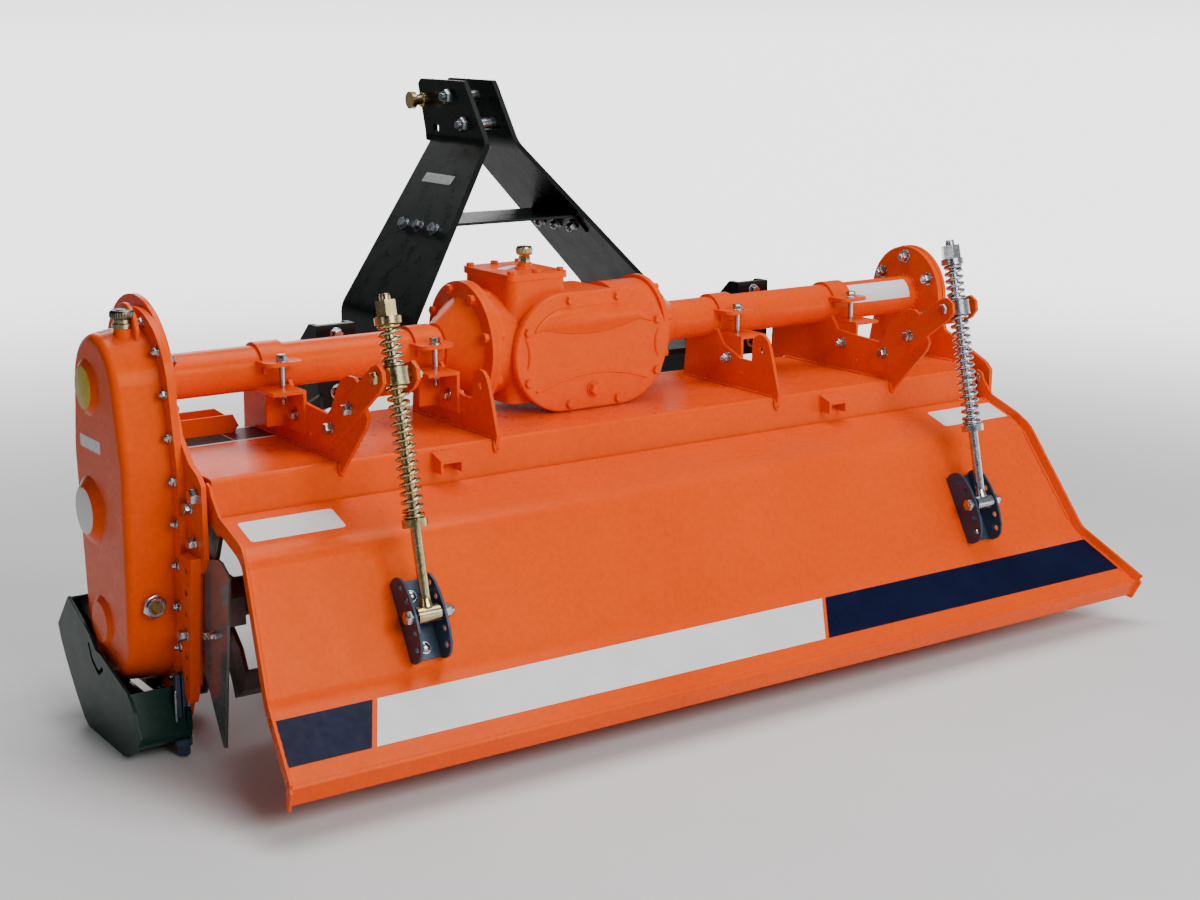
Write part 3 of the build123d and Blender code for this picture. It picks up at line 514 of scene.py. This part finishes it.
# front nose
for k in range(8):
    t = math.radians(22.5 + 45 * k)
    painted.bolt((-12 + 78 * math.cos(t), 120, 436 + 78 * math.sin(t)), (0, 1, 0), 17, False, k)
for k in range(4):
    t = math.radians(45 + 90 * k)
    zinc.bolt((-12 + 58 * math.cos(t), 200, 436 + 58 * math.sin(t)), (0, 1, 0), 13, True, k)
# clamps and their angles
for key, x in CLAMPS.items():
    y = -60
    zinc.bolt((x, y, 476), (0, 0, 1), 19, True, 0.5, h=11)
    zinc.lathe((x, y, 0), (0, 0, 1), [(424, 6), (468, 6)], 14)
    zinc.bolt((x, y, 417), (0, 0, -1), 18, True, 0.2, 14)
    p = PLATES[key]
    side = 1 if p > x else -1
    leg = p - side * 11
    zinc.bolt((leg, -74, 372), (-side, 0, 0), 19, True, 0.35)
    zinc.bolt((p + side * 4, -74, 372), (side, 0, 0), 19, True, 0.6, 6)
# fork arms on the outer support plates
for key in ("ol", "or"):
    p = PLATES[key]
    for s, w in ((134, 1), (228, 5)):
        y, z = on_arm(s, w)
        zinc.bolt((p - 12, y, z), (-1, 0, 0), 19, True, 0.2 + s)
        zinc.bolt((p + 4, y, z), (1, 0, 0), 19, True, 0.5 + s, 6)
# adjuster strips, skid shoes, side guards
for x, sgn in ((LEFT_X - 20, -1), (RIGHT_X + 30, 1)):
    zinc.bolt((x, -210, 15), (sgn, 0, 0), 19, True, 0.78, h=13)
for x, sgn in ((LEFT_X, -1), (RIGHT_X + 10, 1)):
    zinc.bolt((x, -224, 192), (sgn, 0, 0), 19, True, 0.4)
    zinc.bolt((x, -210, 255), (sgn, 0, 0), 19, True, 0.9)
for x, sgn in ((LEFT_IN, -1), (RIGHT_X, 1)):
    zinc.bolt((x, -244, 18), (sgn, 0, 0), 13, True, 0.1)
    zinc.bolt((x, -275, 26), (sgn, 0, 0), 13, True, 0.6)
for x, sgn in ((LEFT_IN + 5, 1), (RIGHT_X - 5, -1)):
    zinc.bolt((x, -244, 18), (sgn, 0, 0), 13, True, 0.1)
    zinc.bolt((x, -275, 26), (sgn, 0, 0), 13, True, 0.6)
# right hub
for k in range(6):
    t = math.radians(60 * k + 15)
    zinc.bolt((RIGHT_X + 28, 73 * math.cos(t), 73 * math.sin(t)), (1, 0, 0), 15, True, k)
# mast: spacer nuts, tie plate bolts
for y, z in ((398, 881), (468, 941)):
    for sgn in (-1, 1):
        blackb.bolt((XS + sgn * 44, y, z), (sgn, 0, 0), 30, False, 0.4, 10, h=13.2)
for y in (286, 354, 422):
    for sgn in (-1, 1):
        z = 658.0
        half = 38 + (842 - z) * 0.8111
        n = Vector((sgn * 0.777, 0, 0.63))
        c = Vector((XS + sgn * half, y, z))
        blackb.bolt(c + n * 6.0, n, 20, True, y * 0.1)
        m = c - n * 14.3
        blackb.bolt(m, -n, 20, True, y * 0.2, 4)
# lower hitch
for sgn in (-1, 1):
    x = XS + sgn * 546
    zinc.bolt((x, 76, 372), (0, -1, 0), 24, True, 0.3)
    zinc.bolt((x, 76, 492), (0, -1, 0), 20, True, 0.3)
    for y in (190, 262):
        zinc.bolt((XS + sgn * 346, y, 388), (sgn, 0, 0), 22, True, y)
        zinc.bolt((XS + sgn * 324, y, 388), (-sgn, 0, 0), 22, True, y, 6)
zinc.make("bolts_zinc", "frame", ZINC, "bright_zinc")
painted.make("bolts_painted", "frame", ORANGE, "orange_paint")
blackb.make("mast_bolts", "frame", DARKZINC, "bright_zinc")

# linch pins with their rings in the hitch pins' free ends
k = Kit()
for sgn in (-1, 1):
    x = XS + sgn * 404
    k.lathe((x, 335, 235), (0, 0, 1), [(-22, 2.6), (-20, 4.2), (22, 4.2), (23, 7), (31, 7), (33, 5)], 16)
    ring = [(x - sgn * 5.5, 335 + 27 * math.cos(t), 235 + 27 * math.sin(t)) for t in [2 * math.pi * i / 40 for i in range(41)]]
    k.sweep(ring, [2.2] * 41, 8)
k.make("linch_pins", "frame", ZINC, "bright_zinc", 60)

# --------------------------------------------------------------- skid shoes
# two upright bars on each shoe's rear end, their beads, and the stub bolt below them
k, k2 = Kit(), Kit()
for x0, sgn in ((-1052.0, -1), (966.0, 1)):
    for d0, d1 in ((2, 12), (15, 25)):
        xa, xb = x0 + sgn * d0, x0 + sgn * d1
        arc = [(-183 + 7 * math.cos(t), -73 + 7 * math.sin(t)) for t in [math.pi * i / 10 for i in range(11)]]
        k.plate([(-176, -190)] + arc + [(-190, -190)], (min(xa, xb), 0, 0), (0, 1, 0), (0, 0, 1), (1, 0, 0), 10, 1.5)
    for d in (1, 26.5):
        k2.weld((x0 + sgn * d, -190, -188), (x0 + sgn * d, -190, -96), 3.4)
    k2.weld((x0 + sgn * 2, -194, -187), (x0 + sgn * 26, -194, -187), 4.0)
    xs = x0 + sgn * 14
    k.lathe((xs, -186, 0), (0, 0, 1), [(-226, 11), (-224, 12.5), (-192, 12.5)], 20)
    k.lathe((xs, -186, 0), (0, 0, 1), [(-206, 17), (-195, 17), (-193, 15)], 24)
# the bars take the bracket's blue-grey enamel, lighter and bluer than their black paint: painted light for the blue
# light on their rounded tops
k.make("skid_bars", "frame", BRACKET, "black_paint")
k2.make("skid_beads", "frame", DARKZINC, "black_paint", 60)

# ------------------------------------------------------------------- gear case
k = Kit()
arc = [(-24 + 56 * math.cos(t), 556 + 56 * math.sin(t)) for t in [math.pi * i / 18 for i in range(19)]]
k.plate([(34, 536)] + arc + [(-82, 536)], (-1076, 0, 0), (0, 1, 0), (0, 0, 1), (1, 0, 0), 10, 2.0)
k.make("gear_case_lug", "frame", ORANGE, "orange_paint")
k = Kit()
k.lathe((-1088, -50, 0), (0, 0, 1), [(570, 19.5), (578, 19.5), (580, 16.5), (586, 16.5), (588, 14)], 28)
k.make("filler_neck", "frame", GOLD, "yellow_zinc")
k = Kit()
prof = [(586, 15), (588.5, 21.5), (590, 22.6), (600, 22.6), (603, 20.6), (603.8, 18.5), (603.2, 12.5), (604.6, 11), (604.6, 0)]
k.lathe((-1088, -50, 0), (0, 0, 1), prof, 40)
for i in range(30):
    t = 2 * math.pi * i / 30
    k.lathe((-1088 + 22.4 * math.cos(t), -50 + 22.4 * math.sin(t), 0), (0, 0, 1), [(591, 1.1), (599.5, 1.1)], 6)
k.make("filler_cap", "frame", DARKCAP, "black_plastic", replaces=("gear_case_filler_cap",))
k = Kit()
k.hexagon((-1096, -150, 62), (0, -1, 0), 42, 0, 9, 0.3)
k.lathe((-1096, -150, 62), (0, -1, 0), [(0, 12), (0, 19), (14.5, 19), (16.5, 17.5), (16.5, 12.5), (14.2, 11.8), (0, 12)], 36)
k.make("sight_ring", "frame", ZINC, "bright_zinc")

# blank discs on the bosses, blank stickers
k = Kit()
k.lathe((-1149, TUBE_Y - 4, TUBE_Z), (-1, 0, 0), [(0, 41), (0.7, 41), (0.9, 40.4)], 48)
k.make("disc_yellow", "frame", LABEL_YELLOW)
k = Kit()
k.lathe((-1155, 28, 214), (-1, 0, 0), [(0, 45), (0.7, 45), (0.9, 44.4)], 48)
k.make("disc_white", "frame", LABEL_WHITE)


def rounded(w, h, r, n=5):
    pts = []
    for cx, cy, a0 in ((w / 2 - r, h / 2 - r, 0), (-w / 2 + r, h / 2 - r, 90), (-w / 2 + r, -h / 2 + r, 180), (w / 2 - r, -h / 2 + r, 270)):
        for i in range(n + 1):
            t = math.radians(a0 + 90 * i / n)
            pts.append((cx + r * math.cos(t), cy + r * math.sin(t)))
    return pts


k = Kit()
k.plate(rounded(104, 24, 4), (-1141.0, 12, 346), (0, 1, 0), (0, 0.0, 1), (-1, 0, 0), 0.6, 0.2)
k.plate(rounded(64, 22, 4), (-205, 30, 604), Vector((0.86, 0.5, 0)), Vector((-0.5, 0.86, 0)), (0, 0, 1), 0.6, 0.2)
verts, faces = [], []
for i in range(9):
    t = math.radians(76 + 14 * i / 8)
    for x in (-1120.0, -1098.0):
        r = 104.9 + 14 * (x + 1141) / 88
        verts.append((x, -18 + r * math.cos(t), 452 + r * math.sin(t)))
for i in range(8):
    faces.append([2 * i, 2 * i + 1, 2 * i + 3, 2 * i + 2])
k.add(verts, faces)
k.make("stickers_frame", "frame", LABEL_WHITE)

# channel on the hood beside the left plate
k = Kit()
k.plate([(-1029, 308), (-812, 308), (-800, 322), (-812, 346), (-1029, 346)], (0, 104, 0), (1, 0, 0), (0, 0, 1), (0, 1, 0), 5, 1)
k.plate([(-1029, 308), (-800, 308), (-800, 330), (-836, 354), (-1029, 354)], (0, 140, 0), (1, 0, 0), (0, 0, 1), (0, 1, 0), 5, 1)
k.block(-1029, -806, 106, 143, 308, 312)
k.make("hood_channel", "frame", ORANGE, "orange_paint")

# weld beads: support plates on the hood and under the tube, hood to side plates
k = Kit()
for key, p in PLATES.items():
    toe_y = -238
    for sgn in (-1, 1):
        k.weld((p + sgn * 4.5, toe_y + 6, 309), (p + sgn * 4.5, 134 if key[0] == "o" else 88, 309), 3.0)
        k.weld((p + sgn * 4.2, -240, 306), (p + sgn * 4.2, -244.5, 284), 3.4)
        k.weld((p + sgn * 4.3, -28, 432), (p + sgn * 4.3, -10, 419), 2.6)
    k.weld((p - 5, -245, 283), (p + 5, -245, 283), 4.6)
for x in (LEFT_IN + 1.5, RIGHT_X - 1.5):
    k.weld((x, -190, 309), (x, 140, 309), 3.0)
for x in (-525, 466):
    for dx in (-26, 26):
        k.weld((x + dx, -236.5, 303), (x + dx, -244.5, 262), 2.8)
    k.weld((x - 26, -237, 301.5), (x + 26, -237, 301.5), 2.8)
for t in range(24):
    a0, a1 = 2 * math.pi * t / 24, 2 * math.pi * (t + 1) / 24
    for x in (LEFT_IN + 15.5, RIGHT_X - 15.5):
        k.weld((x, TUBE_Y + 45.5 * math.cos(a0), TUBE_Z + 45.5 * math.sin(a0)), (x, TUBE_Y + 45.5 * math.cos(a1), TUBE_Z + 45.5 * math.sin(a1)), 3.0)
k.make("weld_beads", "frame", ORANGE, "orange_paint", 60)

# rear cover: raised pads and short ribs
k = Kit()
CXL, CXR, CZ = -150.0, -12.0, 436.0


def capsule_top(r, n=16):
    left = [(CXL + r * math.cos(t), CZ + r * math.sin(t)) for t in [math.radians(90 + 60 * i / n) for i in range(n + 1)]]
    right = [(CXR + r * math.cos(t), CZ + r * math.sin(t)) for t in [math.radians(30 + 60 * i / n) for i in range(n + 1)]]
    return right + left


def cover_pad(pts):
    k.plate(pts, (0, -112, 0), (1, 0, 0), (0, 0, 1), (0, -1, 0), 3.2, 1.4)


top = capsule_top(95)
sag = [(x, z) for x, z in ((-205, 489), (-170, 480), (-130, 474), (-92, 472), (-50, 474), (-10, 481), (36, 492))]
cover_pad(top + [(p[0], p[1]) for p in sag])
hump = [(58, 362), (30, 372), (2, 379), (-40, 386), (-87, 388), (-130, 384), (-170, 376), (-205, 366), (-226, 360)]
k2 = Kit()
k2.sweep([(x, -112, z) for x, z in hump], [3.2] * len(hump), 8)
k2.sweep([(x, -112, z) for x, z in ((-252, 476), (-244, 462), (-241, 446), (-241, 428), (-246, 410))], [2.2, 4, 4.4, 4, 2.2], 8)
k2.sweep([(x, -112, z) for x, z in ((88, 466), (82, 450), (80, 436), (82, 420), (88, 406))], [2.2, 3.6, 4, 3.6, 2.2], 8)
k.make("cover_pad", "frame", ORANGE, "orange_paint", 50)
k2.make("cover_ribs", "frame", ORANGE, "orange_paint", 60)

# breather: knurled cap on a hexagon stem
k = Kit()
k.hexagon((-180, 4, 0), (0, 0, 1), 22, 616, 630, 0.3)
k.lathe((-180, 4, 0), (0, 0, 1), [(630, 11), (634, 12.5)], 24)
k.lathe((-180, 4, 0), (0, 0, 1), [(633, 15.5), (635, 17), (648, 17), (650.6, 15.4), (651.2, 0)], 36)
for i in range(36):
    t = 2 * math.pi * i / 36
    k.lathe((-180 + 17 * math.cos(t), 4 + 17 * math.sin(t), 0), (0, 0, 1), [(636.5, 0.9), (647, 0.9)], 5)
k.make("breather_cap", "frame", GOLD, "black_plastic", replaces=("gearbox_breather",))
k = Kit()
k.lathe((-180, 4, 0), (0, 0, 1), [(603.5, 22), (607, 21), (609, 17), (616, 15.5), (617, 13)], 32)
k.make("breather_base", "frame", ORANGE, "orange_paint")

# blank plate on the mast's left leg, blank sticker on the beam
k = Kit()
n = Vector((-0.777, 0, 0.63))
half = 38 + (842 - 757) * 0.8111
c = Vector((XS - half, 405, 757)) + n * 6.0
k.plate(rounded(128, 25, 3), c, (0, 1, 0), Vector((0.63, 0, 0.777)), n, 1.2, 0.4)
for dy in (-58, 58):
    k.lathe(c + Vector((0, dy, 0)), n, [(0, 2.6), (1.8, 2.4), (2.2, 1.4)], 12)
k.make("mast_plate", "frame", PLATE_SILVER)
k = Kit()
verts, faces = [], []
n_a, n_x = 14, 1
x0, x1 = 720.0, 905.0
for i in range(n_a + 1):
    t = math.radians(118 + 62 * i / n_a)
    for j, x in enumerate((x0, x1)):
        verts.append((x, TUBE_Y + (TUBE_R + 0.6) * math.cos(t), TUBE_Z + (TUBE_R + 0.6) * math.sin(t)))
for i in range(n_a):
    faces.append([2 * i, 2 * i + 1, 2 * i + 3, 2 * i + 2])
k.add(verts, faces)
k.make("sticker_beam", "frame", LABEL_WHITE)
k = Kit()
k.plate([(-955, 30), (-748, 30), (-725, 52), (-725, 128), (-748, 140), (-955, 140)], (0, 0, 308), (1, 0, 0), (0, 1, 0), (0, 0, 1), 0.6, 0.2)
k.make("hood_sticker_edge", "frame", LABEL_WHITE)
k = Kit()
k.plate([(-948, 37), (-840, 37), (-840, 133), (-948, 133)], (0, 0, 308.6), (1, 0, 0), (0, 1, 0), (0, 0, 1), 0.4, 0.1)
k.make("hood_sticker_green", "frame", LABEL_TEAL)
k = Kit()
k.plate([(-838, 37), (-752, 37), (-733, 56), (-733, 124), (-752, 133), (-838, 133)], (0, 0, 308.6), (1, 0, 0), (0, 1, 0), (0, 0, 1), 0.4, 0.1)
k.make("hood_sticker_maroon", "frame", LABEL_MAROON)

# -------------------------------------------------------------- trailing board
def panel(i):
    """Start, direction down the panel and outward normal of the board's i-th flat."""
    pts = [(-262.0, 241.0), (-385.0, 200.0), (-520.0, -35.0), (-655.0, -130.0)]
    a, b = pts[i], pts[i + 1]
    l = math.dist(a, b)
    d = ((b[0] - a[0]) / l, (b[1] - a[1]) / l)
    return Vector((0, a[0], a[1])), Vector((0, d[0], d[1])), Vector((0, d[1], -d[0])), l


o0, d0, n0, l0 = panel(0)
k = Kit()
k.plate(rounded(190, 66, 7), o0 + d0 * 58 + Vector((-888, 0, 0)) + n0 * 0.1, (1, 0, 0), -d0, n0, 0.6, 0.2)
k.plate(rounded(205, 66, 7), o0 + d0 * 60 + Vector((828, 0, 0)) + n0 * 0.1, (1, 0, 0), -d0, n0, 0.6, 0.2)
k.make("stickers_board", "board", LABEL_WHITE)

o2, d2, n2, l2 = panel(2)


def edge_x(s, side):
    """The board's end at s below the lower bend, inside its rib."""
    y = o2.y + d2.y * s
    f = (y + 385) / (-655 + 385)
    return (-1020 - 52 * f + 7) if side < 0 else (936 + 108 * f - 7)


def band(x0a, x0b, x1a, x1b, name, material, s0=30.0, s1=126.0):
    q = Kit()
    q.plate(
        [(x0b, -s1), (x1b, -s1), (x1a, -s0), (x0a, -s0)], o2 + n2 * 0.15, (1, 0, 0), -d2, n2, 0.6, 0.2
    )
    q.make(name, "board", material)


band(edge_x(30, -1), edge_x(126, -1), -852, -896, "band_left", LABEL_NAVY)
band(-842, -886, 196, 140, "band_middle", LABEL_WHITE)
band(206, 150, edge_x(30, 1), edge_x(126, 1), "band_right", LABEL_NAVY)

# hinge bolts, bracket bolts, eye bolts
k = Kit()
for x, sgn in ((LEFT_IN + 10 + 6, 1), (RIGHT_X - 10 - 6, -1)):
    k.washer((x, -240, 283), (sgn, 0, 0), 14, 2)
k.make("hinge_washers", "board", ZINC, "bright_zinc")
k = Kit()
for x, sgn in ((LEFT_X - 12, -1), (RIGHT_X + 22, 1)):
    k.hexagon((x + 12 * -sgn, -240, 283), (sgn, 0, 0), 27, 0.2, 14, 0.3)
k.make("hinge_heads", "frame", ZINC, "bright_zinc")
o1, d1, n1, l1 = panel(1)
k = Kit()
for x in ROD_X.values():
    for s in (128, 226):
        c = o1 + d1 * s + n1 * 5 + Vector((x, 0, 0))
        k.washer(c, n1, 12, 2)
        k.lathe(c, n1, [(2, 9.5), (4, 9), (6.5, 7), (7.6, 4), (8, 0)], 20)
    k.hexagon((x - 33, EYE.y, EYE.z), (-1, 0, 0), 24, 0.2, 12, 0.25)
    k.washer((x + 33, EYE.y, EYE.z), (1, 0, 0), 14)
    k.hexagon((x + 33, EYE.y, EYE.z), (1, 0, 0), 24, 2.2, 13.5, 0.4)
    k.lathe((x + 33, EYE.y, EYE.z), (1, 0, 0), [(13, 11.2), (17, 10.6), (21, 8.2), (23.5, 4.5), (24, 0)], 20)
k.make("bracket_bolts", "board", ZINC, "bright_zinc")
# bead of weld along the ribs
k = Kit()
for side in (-1, 1):
    last = None
    for i in (0, 1, 2):
        oi, di, ni, li = panel(i)
        a = oi + di * (20 if i else 4)
        b = oi + di * (li - 26)
        for p in (a, b):
            f = max(0.0, (p.y + 385) / (-655 + 385))
            x = (-1020 - 52 * f + 8.5) if side < 0 else (936 + 108 * f - 8.5)
            p.x = x
        k.weld(a + ni * 0.5, b + ni * 0.5, 2.6)
k.make("board_welds", "board", ORANGE, "orange_paint", 60)

# ------------------------------------------------------------------ spring rods
def coil(x, h0, h1, turns, mean, wire):
    """A coil on the rod's line, ground flat at both ends."""
    q = Kit()
    u, v, a = basis(ROD_U)
    base = EYE + Vector((x, 0, 0))
    n = int(turns * 22)
    path = []
    for i in range(n + 1):
        f = i / n
        g = min(max((f * turns - 0.8) / (turns - 1.6), 0), 1)
        h = h0 + wire * 0.9 + (h1 - h0 - 1.8 * wire) * (g * 0.94 + f * 0.06)
        t = 2 * math.pi * turns * f
        path.append(base + a * h + (u * math.cos(t) + v * math.sin(t)) * mean)
    q.sweep(path, [wire] * (n + 1), 10)
    return q


for side, x in ROD_X.items():
    metal_ = GOLD if side == "left" else ZINC
    slot_ = "yellow_zinc" if side == "left" else "bright_zinc"
    low = coil(x, 175.4, REACH - 16.2, 16.5, 17.2, 3.9).make("lower_coil_" + side, "trunnion_" + side, metal_, slot_, 80, replaces=("lower_spring_" + side,))
    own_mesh(low)
    coil(x, REACH + 16.2, 528.6, 6.2, 17.2, 3.9).make("upper_coil_" + side, "trunnion_" + side, metal_, slot_, 80, replaces=("upper_spring_" + side,))
    k = Kit()
    k.hexagon((x - 39, FORK.y, FORK.z), (-1, 0, 0), 22, 0.4, 10, 0.3)
    k.hexagon((x + 39, FORK.y, FORK.z), (1, 0, 0), 22, 0.4, 11, 0.5)
    k.thread((x + 39, FORK.y, FORK.z), (1, 0, 0), 6.5, 11, 16)
    k.make("fork_bolts_" + side, "trunnion_" + side, metal_, slot_)
    k = Kit()
    base = EYE + Vector((x, 0, 0))
    k.thread(base, ROD_U, 9.6, 572, 584, 2.0, 18)
    k.lathe(base, ROD_U, [(14, 14), (18, 13.2), (24, 11), (30, 10.3)], 20)
    k.lathe(base, ROD_U, [(541.5, 22), (543, 21.5), (544, 18)], 28)
    k.make("rod_ends_" + side, "rod_" + side, metal_, slot_)

# ------------------------------------------------------------------------ rotor
k = Kit()
flange_xs = [-930 + (845 + 930) * i / 7 for i in range(8)]
for i, x in enumerate(flange_xs):
    for b in range(6):
        sgn = 1 if b % 2 == 0 else -1
        turn = math.radians(60 * b + 22.5 * i)
        for r, w in ((64, 13), (64, -13)):
            y0, z0 = w, r + 4
            y = y0 * math.cos(turn) - z0 * math.sin(turn)
            z = y0 * math.sin(turn) + z0 * math.cos(turn)
            k.hexagon((x + sgn * 13, y, z), (sgn, 0, 0), 17, 0, 9, i + b)
            k.hexagon((x - sgn * 5, y, z), (-sgn, 0, 0), 17, 0, 11, i * 2 + b)
k.make("blade_bolts", "rotor", BLADE, "blade_steel")

# ------------------------------------------------------------ camera and light
cam_data = bpy.data.cameras.new("camera")
cam = bpy.data.objects.new("camera", cam_data)
scene.collection.objects.link(cam)
cam_data.sensor_width = 36.0
cam_data.lens = 57.64
cam_data.clip_end = 300
cam.location = P(-2340.2, -3428.2, 1156.3)
cam.rotation_euler = (math.radians(76.83), 0, math.radians(-34.45))
scene.camera = cam

floor_mesh = bpy.data.meshes.new("floor")
bm = bmesh.new()
bmesh.ops.create_grid(bm, x_segments=1, y_segments=1, size=8)
bm.to_mesh(floor_mesh)
bm.free()
floor = bpy.data.objects.new("floor", floor_mesh)
scene.collection.objects.link(floor)
fm, ft, fb = new_material("pale_floor")
fc = coords(ft)
ft.links.new(ramp(ft, noise(ft, fc, 2.0), [(0.3, grey(0.82)), (0.7, grey(0.85))]), fb.inputs["Base Color"])
fb.inputs["Roughness"].default_value = 0.6
fl = ft.nodes.new("ShaderNodeVectorMath")
fl.operation = "LENGTH"
ft.links.new(fc, fl.inputs[0])
ff = ft.nodes.new("ShaderNodeMapRange")
ff.interpolation_type = "SMOOTHSTEP"
for socket, value in (("From Min", 1.5), ("From Max", 6.0), ("To Min", 0.0), ("To Max", 1.0)):
    ff.inputs[socket].default_value = value
ft.links.new(fl.outputs["Value"], ff.inputs["Value"])
fmix = ft.nodes.new("ShaderNodeMixShader")
ft.links.new(ff.outputs["Result"], fmix.inputs["Fac"])
ft.links.new(fb.outputs["BSDF"], fmix.inputs[1])
ft.links.new(ft.nodes.new("ShaderNodeBsdfTransparent").outputs["BSDF"], fmix.inputs[2])
ft.links.new(fmix.outputs["Shader"], ft.nodes["Material Output"].inputs["Surface"])
floor_mesh.materials.append(fm)
floor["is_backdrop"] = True


def area_light(name, loc, target, size, size_y, power, color=(1, 1, 1)):
    d = bpy.data.lights.new(name, "AREA")
    d.shape = "RECTANGLE"
    d.size, d.size_y = size, size_y
    d.energy = power
    d.color = color
    o = bpy.data.objects.new(name, d)
    o.location = loc
    o.rotation_euler = (Vector(target) - Vector(loc)).to_track_quat("-Z", "Y").to_euler()
    scene.collection.objects.link(o)


area_light("key", (0.2, -4.9, 3.2), (0, 0, 0.45), 3.4, 2.0, 215)
area_light("top", (0.4, 0.2, 4.2), (0, 0, 0.5), 4.0, 1.6, 130)
area_light("fill", (-4.6, -1.6, 2.0), (-0.5, 0, 0.5), 1.0, 2.2, 13)
area_light("front", (1.0, 4.5, 2.8), (0, 0, 0.5), 3.0, 2.0, 50)
world = bpy.data.worlds.new("studio")
scene.world = world
world.use_nodes = True
wt = world.node_tree
wd = wt.nodes.new("ShaderNodeSeparateXYZ")
wt.links.new(wt.nodes.new("ShaderNodeTexCoord").outputs["Generated"], wd.inputs["Vector"])
wm = wt.nodes.new("ShaderNodeMapRange")
wm.inputs["From Min"].default_value = -1.0
wm.inputs["From Max"].default_value = 1.0
wt.links.new(wd.outputs["X"], wm.inputs["Value"])
wc = ramp(wt, wm.outputs["Result"], [(0.0, grey(0.06)), (0.40, grey(0.10)), (0.62, grey(0.95)), (1.0, grey(1.0))])
wt.links.new(wc, wt.nodes["Background"].inputs["Color"])
wz = wt.nodes.new("ShaderNodeMapRange")
for socket, value in (("From Min", -0.02), ("From Max", 0.12), ("To Min", 3.0), ("To Max", 0.28)):
    wz.inputs[socket].default_value = value
wt.links.new(wd.outputs["Z"], wz.inputs["Value"])
wt.links.new(wz.outputs["Result"], wt.nodes["Background"].inputs["Strength"])

low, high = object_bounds()
